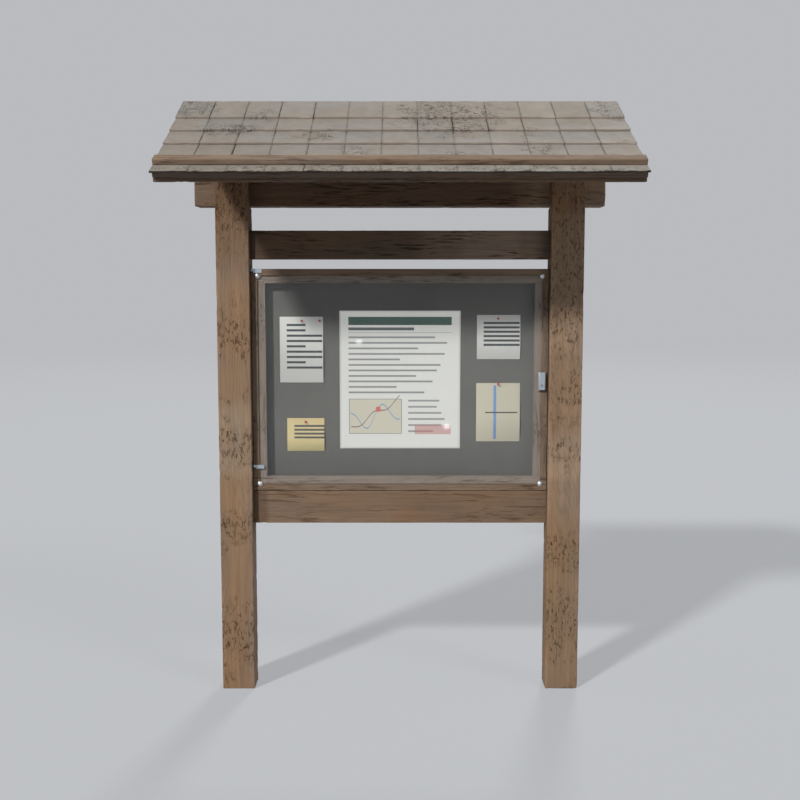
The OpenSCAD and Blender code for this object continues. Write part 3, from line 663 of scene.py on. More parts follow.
def shingle_finish(name, roof):
    """Weathered shingles: mottled warm grey that differs from piece to piece,
    with a fine crackle and dark spots in clouded patches and along the eaves,
    and darker edges. The butt faces, which face down the slope and catch less
    light, are painted paler; the butts of the eaves course are painted near black
    for the shadow under their lip. The crackle is the net of lines between warped
    cells."""
    f = Finish(name, Roughness=0.9, Specular_IOR_Level=0.2)
    here = f.position()
    x, y, _ = f.split(here)
    off_ridge = abs(y)
    spread, edge, butt = (f.attribute(key) for key in ("tone", "edge", "butt"))
    hue = f.noise(here, 3.4, 3)
    cloud = f.noise(here, 17, 4, 0.6)
    blot = f.noise(here, 46, 3, 0.6)
    grit = f.noise(here, 280, 3, 0.65)

    eaves = f.step(off_ridge, 0.545, 0.56)
    crowd = f.step(f.noise(here, 6, 2), 0.56, 0.70) * 0.8
    crowd = crowd | eaves * 0.75
    for px, py, wide, deep in PATCHES:
        across, along = (x - px) / wide, (y - py) / deep
        away = f.maths("SQRT", across * across + along * along) + (cloud - 0.5) * 1.6
        crowd = crowd | f.step(away, 1.1, 0.5)
    space = f.warp(here, 40, 0.022)
    net = f.step(f.cracks(space, 52), 0.10, 0.02) * f.step(f.noise(here, 30, 2), 0.40, 0.56)
    fine = f.step(f.cracks(space, 118), 0.12, 0.03) * f.step(f.noise(here, 55, 2), 0.50, 0.60)
    spots = f.step(f.noise(here, 120, 3, 0.65), 0.60, 0.70)
    lip = f.step(off_ridge, 0.578, 0.588) * f.step(f.noise(here, 30, 3), 0.48, 0.62)
    marks = (net * 0.75 + fine * 0.5 + spots * 0.55) * crowd + lip * 0.6 & 0.92

    tone, stain = tuple(roof.tone), tuple(roof.stain)
    base = f.mix(f.step(hue, 0.40, 0.60), toned(tone, 1.02, 0.96, 0.90), tone)
    base = f.mix(eaves * 0.6, base, toned(tone, 0.99, 1.00, 0.95))
    light = 0.55 + cloud * 0.46 + blot * 0.22 + grit * 0.24 + eaves * 0.08
    light = light * (0.955 + spread * 0.09) * (1 + x * 0.09)
    base = f.scale(base, light)
    base = f.mix(edge * 0.35, base, stain)
    # Painted light: the butt faces, turned down the slope, are painted paler to make up for the
    # light they miss
    base = f.mix(butt * 0.6, base, tint(160, 145, 131))
    base = f.mix(marks, base, stain)
    # Painted shadow: the butts of the eaves course are painted near black, for the shadow under
    # their lip
    lip_shadow = butt * f.step(off_ridge, 0.572, 0.582)
    base = f.mix(lip_shadow * 0.95, base, tint(38, 33, 29))
    f.feed(Base_Color=base)
    f.bump(cloud * 0.5 + blot * 0.3 + grit * 0.4 - marks * 0.8, 0.6, 0.002)
    return f.material


def felt_finish(name, case):
    """Felt: short fibres in every direction over a faint cloudiness."""
    f = Finish(name, Roughness=0.97, Specular_IOR_Level=0.1)
    here = f.position()
    nap = f.noise(here, 900, 4, 0.7)
    lint = f.noise(f.warp(here, 120, 0.01), 330, 3, 0.6)
    cloud = f.noise(here, 9, 4, 0.6)
    light = 0.61 + nap * 0.30 + lint * 0.20 + cloud * 0.30
    light = light * (1 - f.step(f.split(here)[2], 1.0, 0.80) * 0.20)
    f.feed(Base_Color=f.scale(tuple(case.felt), light))
    f.bump(nap * 0.6 + lint * 0.4, 0.5, 0.0012)
    return f.material


def metal_finish(name, tone, rough, metallic=0.85, dirt=0.35):
    """Weathered metal: cloudy roughness, fine scratches and dull spots."""
    f = Finish(name, Metallic=metallic)
    here = f.position()
    cloud = f.noise(here, 90, 4, 0.6)
    scratch = f.noise(f.warp(here, 30, 0.02), 700, 2)
    spots = f.step(f.noise(here, 260, 3, 0.6), 0.58, 0.72)
    clean = f.scale(tone, 0.84 + cloud * 0.32)
    f.feed(
        Base_Color=f.mix(spots * dirt, clean, toned(tone, 0.45, 0.45, 0.45)),
        Roughness=rough + (cloud - 0.5) * 0.25 + spots * 0.2,
    )
    f.bump(cloud * 0.5 + scratch * 0.5 - spots * 0.5, 0.25, 0.0004)
    return f.material


# Two small greasy spots on the pane in metres: middle x and z
SPOTS = ((-0.1505, 1.303), (0.1724, 0.991))


def glass_finish(name):
    """Clear pane: light passes straight through, with a weak mirror on its two
    faces and a thin, cloudy film of dust. The narrow edge has neither, and a
    face met from inside the pane doesn't mirror. Two greasy spots mirror more,
    and show a lamp each."""
    f = Finish(name, Roughness=0.03, Specular_IOR_Level=0.5)
    here = f.position()
    facing = f.split(f.node("ShaderNodeTexCoord", output="Normal"))[1]
    face = abs(facing) > 0.9
    clear = f.node("ShaderNodeBsdfTransparent", None, {0: (0.985, 0.985, 0.98, 1)})
    dust = f.node("ShaderNodeBsdfDiffuse", None, {0: (0.82, 0.84, 0.86, 1)})
    film = 0.008 + f.noise(here, 5, 4, 0.6) * 0.018 + f.noise(here, 60, 3) * 0.008
    dusty = f.node("ShaderNodeMixShader", None, {0: film * face, 1: clear, 2: dust})
    x, _, z = f.split(here)
    mirror = f.node("ShaderNodeFresnel", None, {"IOR": 1.22})
    for px, pz in SPOTS:
        across, up = x - px, (z - pz) * 1.4
        away = f.maths("SQRT", across * across + up * up)
        mirror = mirror + f.step(away, 0.021, 0.008) * 0.1
    mirror = mirror * face * (1 - f.node("ShaderNodeNewGeometry", output="Backfacing"))
    gloss = f.node("ShaderNodeBsdfGlossy", None, {0: (1, 1, 1, 1), "Roughness": 0.05})
    f.show(mirror, dusty, gloss)
    return f.material


class Page:
    """A printed sheet's marks and painted shade, drawn on Object coordinates in X and Z.
    Their places are shares of the sheet's width and height, counted from its top left corner."""

    def __init__(self, name, node, paper):
        self.f = f = Finish(name, Roughness=0.75, Specular_IOR_Level=0.25)
        self.here = f.position()
        self.x, _, self.z = f.split(self.here)
        self.solids = node_points(node)
        self.turn_to(0)
        haze = 0.93 + f.noise(self.here, 9, 3) * 0.10 + f.noise(self.here, 700, 2) * 0.04
        self.tone = f.scale(paper, haze)

    def turn_to(self, k):
        """Counts places on the node's sheet k, from the left."""
        low, high = self.solids[k].min(0), self.solids[k].max(0)
        self.left, self.top = low[0], high[2]
        self.wide, self.tall = high[0] - low[0], high[2] - low[2]

    def at_x(self, share):
        return self.left + share * self.wide

    def at_z(self, share):
        return self.top - share * self.tall

    # Lays a colour over the sheet where the mask is: print, and on the yellow note painted shade
    def ink_and_shade(self, mask, tone):
        self.tone = self.f.mix(mask, self.tone, tone)

    def bar(self, left, right, top, foot, tone, strength=1.0):
        """A filled rectangle."""
        across = between(self.x, self.at_x(left), self.at_x(right))
        self.ink_and_shade(across * between(self.z, self.at_z(foot), self.at_z(top)) * strength, tone)

    def lines(self, left, top, pitch, thick, runs, tone, strength=0.8):
        """Ruled lines under one another, each with its own length. The row is the
        whole part of the depth over the pitch, and picks its length from a ramp."""
        f, count = self.f, len(runs)
        depth = (self.at_z(top) - self.z) / (pitch * self.tall)
        row = f.maths("FLOOR", depth)
        within = (depth - row) * pitch * self.tall
        stops = [(k / count, run / max(runs)) for k, run in enumerate(runs)]
        settings = {"stops": stops, "ramp": "CONSTANT"}
        run = f.node("ShaderNodeValToRGB", settings, {0: (row + 0.5) / count})
        left = self.at_x(left)
        right = left + run * (max(runs) * self.wide)
        mask = between(depth, 0, count) * (within < thick * self.tall)
        self.ink_and_shade(mask * between(self.x, left, right) * strength, tone)

    def fade(self, top, foot, depth):
        """Paints shade on the sheet, darkening it smoothly from one height down to another."""
        dark = self.f.step(self.z, self.at_z(top), self.at_z(foot)) * depth
        self.tone = self.f.scale(self.tone, 1 - dark)

    def done(self, glow=None):
        """The glow is a share of the sheet's own colour that it gives off."""
        self.f.feed(Base_Color=self.tone)
        if glow:
            self.f.feed(Emission_Color=self.f.scale(self.tone, glow))
            self.f.surface.inputs["Emission Strength"].default_value = 1.0
        self.f.bump(self.f.noise(self.here, 60, 3), 0.15, 0.001)
        return self.f.material


# ---- Operators


def soften(names, finish, width=0.0):
    """Gives CAD nodes a finish, and softens their edges where a width is given."""
    for name in names:
        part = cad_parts[name]
        part.data.materials.clear()
        part.data.materials.append(finish)
        if width:
            weld = part.modifiers.new("Merge", "WELD")
            weld.merge_threshold = 1e-5
            bevel = part.modifiers.new("Soften", "BEVEL")
            bevel.width, bevel.segments = width, 2
            bevel.limit_method, bevel.angle_limit = "ANGLE", math.radians(40)


# Large clusters of worm strokes on the posts in metres: middle height and reach
WORMS = {
    "post_left": ((1.79, 0.16), (1.34, 0.09), (0.92, 0.08), (0.62, 0.07), (0.22, 0.12)),
    "post_right": ((1.64, 0.44), (1.10, 0.04), (0.90, 0.06), (0.52, 0.07), (0.26, 0.12)),
}
# Paler and darker stretches: four places along the timber and shares of the colour.
# Several are painted shade: the dark tops of both posts under the roof, the beam from
# the left post to past its middle, the upper rail's left half and its ends by the
# posts, and the left post's shadow on the lower rail's left end. The beam's right end
# is made lighter; the rest make the wood paler or darker along its length.
# Two of the places lie before every timber or past it where a shade has no end
BEFORE, PAST = (-4, -3), (3, 4)
SHADES = {
    "post_left": (
        # painted shade of the roof on the post's top, here and in the next
        (1.52, 1.66, *PAST, (0.85, 0.80, 0.74)),
        (1.70, 1.82, *PAST, (0.74, 0.68, 0.63)),
        (1.22, 1.30, 1.48, 1.56, (1.13, 1.06, 0.98)),
        (0.78, 0.84, 1.02, 1.12, (1.14, 1.24, 1.34)),
        (*BEFORE, 0.40, 0.62, (0.97, 0.94, 0.91)),
    ),
    "post_right": (
        # painted shade of the roof on the post's top
        (1.70, 1.82, *PAST, (0.76, 0.68, 0.62)),
        (1.24, 1.30, 1.42, 1.50, (1.14, 1.17, 1.20)),
        (0.94, 1.00, 1.14, 1.22, (1.05, 0.99, 0.90)),
        (0.78, 0.82, 0.92, 0.98, (1.24, 1.24, 1.22)),
        (*BEFORE, 0.60, 0.72, (0.91, 0.88, 0.82)),
    ),
    "top_beam": (
        # painted shade under the roof, from the left post to past the middle
        (-0.661, -0.659, 0.38, 0.50, (0.61, 0.56, 0.55)),
        (0.38, 0.50, *PAST, (1.36, 1.40, 1.40)),
    ),
    "upper_rail": (
        # painted shade over the left half, which also covers a patch of sunlight
        (*BEFORE, 0.02, 0.14, (0.61, 0.57, 0.53)),
        (0.18, 0.26, 0.40, 0.46, (1.28, 1.30, 1.30)),
        # painted shade by the posts, at the right end and, next, at the left end
        (0.46, 0.54, *PAST, (0.65, 0.65, 0.62)),
        (*BEFORE, -0.54, -0.46, (0.75, 0.75, 0.75)),
    ),
    "lower_rail": (
        (-0.08, 0.06, *PAST, (0.97, 0.87, 0.75)),
        # painted shadow of the left post
        (*BEFORE, -0.505, -0.48, (0.70, 0.66, 0.62)),
    ),
    "battens": ((-0.25, -0.10, *PAST, (0.90, 0.86, 0.81)),),
}


class BOARD_OT_posts(bpy.types.Operator):
    """Make the two worn posts"""

    bl_idname = "board.posts"
    bl_label = "Posts"

    def execute(self, context):
        settings = context.scene.board_timber
        tone = tuple(settings.post_tone)
        beam_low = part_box("top_beam")[0]
        start = settings.seed + SEEDS["posts"]
        for seed, (name, worms) in enumerate(WORMS.items(), start):
            low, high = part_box(name)

            def lapped(place):
                """Above the beam's underside the depth is pressed to the half in front."""
                above = place[..., 2] > beam_low.z
                share = (beam_low.y - low.y) / (high.y - low.y)
                lap = low.y + (place[..., 1] - low.y) * share
                place[..., 1] = np.where(above, lap, place[..., 1])
                return place

            wood = wood_finish(
                name + "_wood", tone, "Z", marks=1.0, worms=worms, shades=SHADES[name]
            )
            ends = low.z, high.z
            box_timber(name, "Z", ends, settings, seed, wood, "post_wood", lapped)
        return {"FINISHED"}


class BOARD_OT_rails(bpy.types.Operator):
    """Make the worn beam and the two rails between the posts"""

    bl_idname = "board.rails"
    bl_label = "Beam and rails"

    def execute(self, context):
        settings = context.scene.board_timber
        half_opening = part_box("post_right")[0].x
        beam, rail = tuple(settings.beam_tone), tuple(settings.rail_tone)
        timbers = (
            ("top_beam", beam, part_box("top_beam")[1].x, 1.1),
            ("upper_rail", rail, half_opening, 1.1),
            ("lower_rail", rail, half_opening, 0.7),
        )
        for seed, (name, tone, half, dashes) in enumerate(timbers, settings.seed + SEEDS["rails"]):
            wood = wood_finish(
                name + "_wood", tone, "X", marks=0.15, dashes=dashes, shades=SHADES[name]
            )
            box_timber(name, "X", (-half, half), settings, seed, wood, "rail_wood")
        return {"FINISHED"}


class BOARD_OT_trusses(bpy.types.Operator):
    """Make the ties, rafters, king posts and ridge board"""

    bl_idname = "board.trusses"
    bl_label = "Trusses"

    def execute(self, context):
        settings = context.scene.board_timber
        pitch = context.scene.board_roof.pitch
        tone = tuple(settings.roof_tone)
        turned = {"rafter_front": (pitch, 0, 0), "rafter_rear": (-pitch, 0, 0)}
        woods = {
            kind: wood_finish(name + "_wood", tone, grain, turned.get(kind, (0, 0, 0)), 0.2, 0.8)
            for kind, name, grain in (
                ("tie", "tie", "Y"),
                ("rafter_front", "front_rafter", "Y"),
                ("rafter_rear", "rear_rafter", "Y"),
                ("king", "king_post", "Z"),
                ("ridge", "ridge", "X"),
            )
        }
        rows = []
        nodes = sorted(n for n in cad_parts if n.startswith(("tie_", "rafter_", "king_")))
        for node in nodes + ["ridge_board"]:
            kind = next(kind for kind in woods if node.startswith(kind))
            rows.append((node, "Z" if kind == "king" else "X", woods[kind]))
        node_timbers(settings, "trusses", rows, "roof_wood")
        return {"FINISHED"}


class BOARD_OT_roof_boards(bpy.types.Operator):
    """Make the roof boards and the eaves boards under them"""

    bl_idname = "board.roof_boards"
    bl_label = "Roof boards"

    def execute(self, context):
        settings = context.scene.board_timber
        roof = wood_finish("roof_board_wood", tuple(settings.roof_tone), "X", dashes=0.8)
        eaves = wood_finish("eaves_board_wood", tuple(settings.eaves_tone), "X", dashes=0.8)
        rows = [(f"roof_boards_{side}", "X", roof) for side in ("front", "rear")]
        rows += [(f"eaves_board_{side}", "X", eaves) for side in ("front", "rear")]
        node_timbers(settings, "boards", rows, "roof_wood", 9)
        return {"FINISHED"}


# Open joints of the front courses in millimetres, from the left: the ridge
# pieces first, then the courses down to the eaves
JOINTS = {
    "ridge_shingles": (2.0, 1.2, 1.8, 1.6, 0.3, 0.2, 0.3, 0.3, 0.5, 1.2, 1.6, 1.8),
    "shingles_front_4": (0.2, 0.2, 0.3, 0.2, 0.4, 0.8, 2.6, 2.8, 3.0, 2.2, 1.6, 1.2),
    "shingles_front_3": (1.8, 1.4, 0.8, 0.3, 0.2, 0.3, 0.5, 0.2, 0.3, 0.8, 1.6, 2.0),
    "shingles_front_2": (1.8, 3.4, 1, 1, 0.8, 0.3, 0.4, 0.2, 0.3, 0.8, 1.4, 1.8),
    "shingles_front_1": (0.2, 0.2, 0.2, 0.2, 0.2, 0.2, 1.0, 0.2, 0.2, 0.2, 0.2, 0.2),
}


# In millimetres: width and length of a shingle, length of a ridge piece down one
# slope, how far in from a side its worn look reaches, and how far in from a butt
# its painted light and painted shadow reach
WIDE, LONG, BENT, RUB, BUTT = 118, 153, 165, 1.4, 1.2
# Sizes of the noises that bite into the lower edges, draw in the sides and make pits
BITES, SIDES, PITS = (0.022, 0.008), 0.03, (0.02, 0.006)


class BOARD_OT_shingles(bpy.types.Operator):
    """Make the uneven shingles of every course and over the ridge"""

    bl_idname = "board.shingles"
    bl_label = "Shingles"

    def execute(self, context):
        roof = context.scene.board_roof
        finish = shingle_finish("shingle", roof)
        ridge_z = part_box("roof_boards_front")[1].z
        names = sorted(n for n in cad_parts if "shingles" in n)
        for k, name in enumerate(names):
            solids = node_points(name)
            draw = np.random.default_rng(roof.seed + 31 * k)
            count = len(solids)
            joints = np.array(JOINTS.get(name, draw.uniform(0.4, 3, count - 1))) * MM
            starts = np.array([p[:, 0].min() for p in solids])
            stops = np.array([p[:, 0].max() for p in solids])
            seams = (starts[1:] + stops[:-1]) / 2
            left = np.concatenate([starts[:1], seams + joints / 2])
            right = np.concatenate([seams - joints / 2, stops[-1:]])
            sides = left[:, None, None], right[:, None, None]
            if name == "ridge_shingles":
                made = self.ridge(solids[0], sides, roof, k)
            else:
                facing = -1 if "front" in name else 1
                lifts = draw.uniform(0, 1, (count, 2)) ** 2 * roof.lift
                made = self.course(solids[0], sides, facing, ridge_z, lifts, roof, k)
            top, under, edge, butt = made
            shells = Shells()
            add_slabs(shells, top, under, edge=edge, butt=butt, tone=draw.uniform(0, 1, count))
            shells.piece("uneven", name, finish, "shingle", 50)
        return {"FINISHED"}

    @staticmethod
    def worn(sides, v, place, seed, pull):
        """What all pieces share on their grid: u runs across each one from its left
        to its right edge and v along it. Gives u and x, with the side edges drawn
        in here and there by up to pull, how deep noise bites into the lower edge,
        from 0 to 1, how far pits and the chamfers of the sides lower the top, and
        how near each point is to a side edge."""
        rim = 0.012
        u = np.concatenate([[0, rim], np.linspace(0.07, 0.93, 11), [1 - rim, 1]])[:, None]
        x = sides[0] + (sides[1] - sides[0]) * u + 0 * v
        spot = np.stack([x, place + 0 * x, np.full_like(x, seed * 0.37)], -1)
        bite = noise(spot, BITES[0], seed) + 0.5 * noise(spot, BITES[1], seed + 50)
        bite = smooth(0.15, 0.9, bite)
        drawn = smooth(0.1, 0.9, noise(spot, SIDES, seed + 70)) * (np.abs(u - 0.5) > 0.485)
        x = x + np.where(u < 0.5, 1, -1) * drawn * pull
        pits = (0.5 + 0.5 * noise(spot, PITS[0], seed + 90)) * 0.6 * MM
        pits = pits + (0.5 + 0.5 * noise(spot, PITS[1], seed + 91)) * 0.35 * MM
        chamfer = (np.abs(u - 0.5) > 0.49) * 0.6 * MM
        near = np.exp(-((np.minimum(u, 1 - u) * WIDE / RUB) ** 2)) + 0 * x
        return u, x, bite, pits, chamfer, near

    def course(self, solid, sides, facing, ridge_z, lifts, roof, seed):
        """Tapered shingles. Up the slope v runs from the butt to the head. The top
        falls in a straight line from the butt to the head, less the pits and a
        chamfer, plus a lift of each lower corner that fades upward."""
        sin, cos = math.sin(roof.pitch), math.cos(roof.pitch)
        down = np.abs(solid[:, 1]) * cos + (ridge_z - solid[:, 2]) * sin
        out = np.abs(solid[:, 1]) * sin - (ridge_z - solid[:, 2]) * cos
        head, butt, thick = down.min(), down.max(), out.max()
        lip = out[down > butt - 1 * MM].min()
        v = np.concatenate([[0, 0.010, 0.03], np.linspace(0.08, 0.97, 11)])[None, :]
        s = butt - (butt - head) * v
        u, x, bite, pits, chamfer, near = self.worn(sides, v, s, seed, 0.9 * MM)
        s = s - bite * roof.chips * (1 - smooth(0.0, 0.05, v))
        lift = lifts[:, :1, None] * (1 - u) + lifts[:, 1:, None] * u
        lift = lift * (1 - v) ** 2
        chamfer = np.maximum(chamfer, (v < 0.005) * 0.9 * MM)
        top = thick * (1 - v) - pits - chamfer + lift
        rest = np.clip(1 - (butt - s) / (30 * MM), 0, 1) * lip
        under = rest + 0.02 * MM + lift
        top = np.maximum(top, under + 0.4 * MM)

        def on_slope(height):
            y = facing * (s * cos + height * sin)
            return np.stack([x, y, ridge_z - s * sin + height * cos], -1)

        return on_slope(top), on_slope(under), near, np.exp(-((v * LONG / BUTT) ** 2)) + 0 * x

    def ridge(self, solid, sides, roof, seed):
        """Pieces bent over the ridge. Along each one v runs from -1 at the front
        butt over 0 at the ridge to 1 at the rear butt; the height falls in a
        straight line with |v|, rounded at the ridge by a square root."""
        low = solid[np.argmin(solid[:, 2])]
        reach = np.abs(solid[:, 1]).max()
        butt_z = solid[np.abs(solid[:, 1]) > reach - 0.1 * MM][:, 2].max()
        top_z = solid[:, 2].max()
        inside = solid[np.abs(solid[:, 1]) < 1 * MM][:, 2].min()
        half = np.concatenate([[0.02, 0.06], np.linspace(0.14, 0.94, 10), [0.985, 1]])
        v = np.concatenate([-half[::-1], [0], half])[None, :]
        away, side = np.abs(v), np.sign(v)
        _, x, bite, pits, chamfer, near = self.worn(sides, v, v * 0.17, seed, 0.8 * MM)
        shrink = bite * roof.chips * smooth(0.95, 1.0, away)
        bend = np.sqrt(away**2 + 0.02**2) - 0.02
        y = side * (reach * away - shrink * math.cos(roof.pitch))
        z = top_z + (butt_z - top_z) * bend + shrink * math.sin(roof.pitch)
        drop = np.maximum(pits + chamfer, (away > 0.995) * 1.4 * MM)
        under_z = inside + (low[2] - inside) * away + shrink * 0.4
        top = np.stack([x, y, z - drop], -1)
        under = np.stack([x, side * abs(low[1]) * away + 0 * x, under_z], -1)
        return top, under, near, np.exp(-(((1 - away) * BENT / BUTT) ** 2)) + 0 * x


class BOARD_OT_battens(bpy.types.Operator):
    """Make the worn battens that hold the eaves course down"""

    bl_idname = "board.battens"
    bl_label = "Battens"

    def execute(self, context):
        settings = context.scene.board_timber
        tone = tuple(settings.batten_tone)
        wood = wood_finish("batten_wood", tone, "X", dashes=0.8, shades=SHADES["battens"])
        rows = [(f"eaves_batten_{side}", "X", wood) for side in ("front", "rear")]
        node_timbers(settings, "battens", rows, "batten_wood")
        return {"FINISHED"}


class BOARD_OT_case(bpy.types.Operator):
    """Finish the case walls, its back, the felt and the seal"""

    bl_idname = "board.case"
    bl_label = "Case"

    def execute(self, context):
        timber_set, case = context.scene.board_timber, context.scene.board_case
        tone = tuple(timber_set.case_tone)
        upright = wood_finish("case_side_wood", tone, "Z", marks=0.3)
        level = wood_finish("case_wood", tone, "X", marks=0.2)
        back = wood_finish("case_back_wood", tone, "X", marks=0.1, dashes=0.5)
        soften(["case_side_left", "case_side_right"], upright, 0.8 * MM)
        soften(["case_top", "case_bottom"], level, 0.8 * MM)
        soften(["case_back"], back)
        soften(["pin_board"], felt_finish("felt", case))
        rubber = Finish("rubber", Roughness=0.7, Specular_IOR_Level=0.3)
        here = rubber.position()
        light = 0.7 + rubber.noise(here, 80, 3) * 0.6
        rubber.feed(Base_Color=rubber.scale(tint(40, 40, 42), light))
        rubber.bump(rubber.noise(here, 500, 2), 0.3, 0.0004)
        soften(["door_seal"], rubber.material)
        return {"FINISHED"}


class BOARD_OT_door(bpy.types.Operator):
    """Finish the door frame and its glass"""

    bl_idname = "board.door"
    bl_label = "Door"

    def execute(self, context):
        tone = tuple(context.scene.board_timber.door_tone)
        low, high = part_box("glass_pane")
        # Painted light: behind the pane the frame is made greyer and 1.42 times lighter, for the
        # glass's sheen
        pane = (high.x, low.z, high.z, 0.45, 1.42)
        worms = ((1.40, 0.09), (0.97, 0.05))
        upright = wood_finish(
            "stile_wood", tone, "Z", marks=0.8, dashes=0.6, worms=worms, painted_haze=pane
        )
        level = wood_finish("door_rail_wood", tone, "X", marks=0.2, dashes=0.9, painted_haze=pane)
        soften(["door_stile_left", "door_stile_right"], upright, 1.0 * MM)
        soften(["door_top_rail", "door_bottom_rail"], level, 1.0 * MM)
        soften(["glass_pane"], glass_finish("clear_glass"), 0.4 * MM)
        return {"FINISHED"}


class BOARD_OT_sheets(bpy.types.Operator):
    """Make the curled sheets with their printed marks, painted shade and painted glow"""

    bl_idname = "board.sheets"
    bl_label = "Sheets"

    def execute(self, context):
        case = context.scene.board_case
        sheets = (
            ("poster", self.poster(tuple(case.paper)), "poster_paper"),
            ("white_notices", self.white_notices(tuple(case.paper)), "white_paper"),
            ("yellow_note", self.yellow_note(tuple(case.yellow)), "yellow_paper"),
            ("beige_notice", self.beige_notice(tuple(case.beige)), "beige_paper"),
        )
        for seed, (node, finish, slot) in enumerate(sheets, 1):
            self.sheet(node, finish, slot, case.curl, seed)
        return {"FINISHED"}

    @staticmethod
    def sheet(node, finish, slot, curl, seed):
        """Sheets of paper with a thickness. Each one hangs flat from its upper
        edge and bellies off the board lower down, by the curl times
        sin(pi d^1.6) at the share d of its height, more towards one side, with
        a slow noise and lightly lifted lower corners."""
        shells = Shells()
        slack = 0.2 if node == "poster" else 1.0
        for k, points in enumerate(node_points(node)):
            low, high = points.min(0), points.max(0)
            u = np.linspace(-1, 1, 25)[:, None]
            v = np.linspace(-1, 1, 25)[None, :]
            x = (low[0] + high[0]) / 2 + u * (high[0] - low[0]) / 2 + 0 * v
            z = (low[2] + high[2]) / 2 + v * (high[2] - low[2]) / 2 + 0 * u
            drop = (1 - v) / 2
            corner = np.abs(u) ** 4 * drop**6 * 0.35
            spot = np.stack([x, z, np.full_like(x, seed + k)], -1)
            belly = np.sin(np.pi * drop**1.6) * (1 + 0.25 * u)
            ripple = 0.12 * (0.5 + 0.5 * noise(spot, 0.09, seed)) * drop
            off = curl * (belly * slack + corner + ripple)
            front, rear = (np.stack([x, y - off, z], -1) for y in (low[1], high[1]))
            add_slabs(shells, front[None], rear[None])
        shells.piece("curled", node, finish, slot)

    def poster(self, paper):
        page = Page("poster_print", "poster", paper)
        page.bar(0.0, 1.0, 0.0, 1.0, toned(paper, 0.82, 0.82, 0.82))
        page.bar(0.013, 0.987, 0.011, 0.989, paper)
        page.bar(0.073, 0.927, 0.044, 0.103, tint(62, 84, 76))
        page.bar(0.073, 0.616, 0.120, 0.141, tint(92, 98, 100))
        page.bar(0.073, 0.927, 0.155, 0.160, tint(172, 174, 172))
        runs = (0.7170, 0.8158, 0.5769, 0.7969, 0.4262, 0.7631)
        runs += (0.7318, 0.5604, 0.6972, 0.3982, 0.6296)
        page.lines(0.073, 0.1845, 0.03992, 0.0135, runs, tint(112, 114, 115))
        runs = (0.2582, 0.2368, 0.2763, 0.3027, 0.2771, 0.2079)
        page.lines(0.568, 0.644, 0.0447, 0.0135, runs, tint(122, 124, 125))
        page.bar(0.622, 0.923, 0.829, 0.896, tint(180, 112, 110), 0.62)
        self.chart(page)
        # Painted light: the top of the poster glows, so that it stays bright in the roof's shadow
        return page.done(page.f.step(page.z, page.at_z(0.26), page.at_z(-0.08)) * 0.47)

    @staticmethod
    def chart(page):
        """A small chart: a cosine that swells in the middle of the box, after
        exp(-d^2), a line that climbs in steps, and one square mark."""
        f = page.f
        page.bar(0.077, 0.515, 0.637, 0.893, tint(122, 124, 118))
        page.bar(0.082, 0.510, 0.641, 0.889, tint(196, 191, 174))
        a = (page.x - page.left) / page.wide
        b = (page.top - page.z) / page.tall
        inside = between(a, 0.092, 0.498)
        swell = (a - 0.288) / 0.172
        swell = f.maths("EXPONENT", swell * swell * -1.0)
        wave = swell * f.maths("COSINE", (a - 0.211) * (2 * math.pi / 0.309)) * 0.104 + 0.765
        climb = f.maths("SINE", (a - 0.118) * (2 * math.pi / 0.222)) * 0.021
        rise = 0.842 - (a - 0.118) * 0.548 + climb
        for line, tone in ((wave, tint(120, 148, 186)), (rise, tint(128, 112, 104))):
            page.ink_and_shade(inside * (abs(b - line) < 0.0042), tone)
        page.bar(0.300, 0.337, 0.695, 0.731, tint(196, 104, 98))

    def white_notices(self, paper):
        page = Page("notice_print", "white_notices", paper)
        dark, short, full = tint(48, 54, 60), 0.436, 0.82
        runs = (short, short, full, full, short, full, full, short, full)
        page.lines(0.16, 0.1085, 0.0808, 0.034, runs, dark, 0.95)
        page.turn_to(1)
        page.lines(0.155, 0.156, 0.0986, 0.050, (0.83,) * 6, dark, 0.95)
        # Painted shade: the sheets darken towards their feet, where they belly off the board. The
        # left sheet is made lighter than the right one.
        page.fade(0.0, 1.3, 0.28)
        page.tone = page.f.scale(page.tone, 0.93 + page.f.step(page.x, 0.1, -0.1) * 0.12)
        return page.done()

    def yellow_note(self, paper):
        page = Page("yellow_print", "yellow_note", paper)
        # Painted shade: the note darkens towards its foot and its right side
        foot = page.f.step(page.z, page.at_z(0.55), page.at_z(1.1))
        foot = foot + (page.x - page.at_x(0.1)) * 1.6
        page.ink_and_shade(foot * 0.8 & 0.9, toned(paper, 0.62, 0.68, 0.60))
        page.lines(0.19, 0.207, 0.116, 0.062, (0.82,) * 4, tint(72, 74, 76), 0.95)
        return page.done()

    def beige_notice(self, paper):
        page = Page("beige_print", "beige_notice", paper)
        page.bar(0.395, 0.46, 0.04, 0.962, tint(110, 144, 188))
        page.bar(0.207, 0.943, 0.492, 0.512, tint(62, 58, 54))
        # Painted shade: the notice darkens towards its right side and its foot, where its corner
        # curls
        across = (page.x - page.at_x(0.2)) / (page.wide * 0.8)
        page.tone = page.f.scale(page.tone, 1 - across * 0.09)
        page.fade(0.45, 1.05, 0.16)
        return page.done()


class BOARD_OT_pins(bpy.types.Operator):
    """Finish the pins in the board"""

    bl_idname = "board.pins"
    bl_label = "Pins"

    def execute(self, context):
        f = Finish("pin_plastic", Roughness=0.3, Specular_IOR_Level=0.5)
        here = f.position()
        tone = tuple(context.scene.board_case.pin)
        f.feed(Base_Color=f.scale(tone, 0.85 + f.noise(here, 400, 2) * 0.3))
        f.bump(f.noise(here, 900, 2), 0.1, 0.0002)
        soften(["push_pins"], f.material)
        return {"FINISHED"}


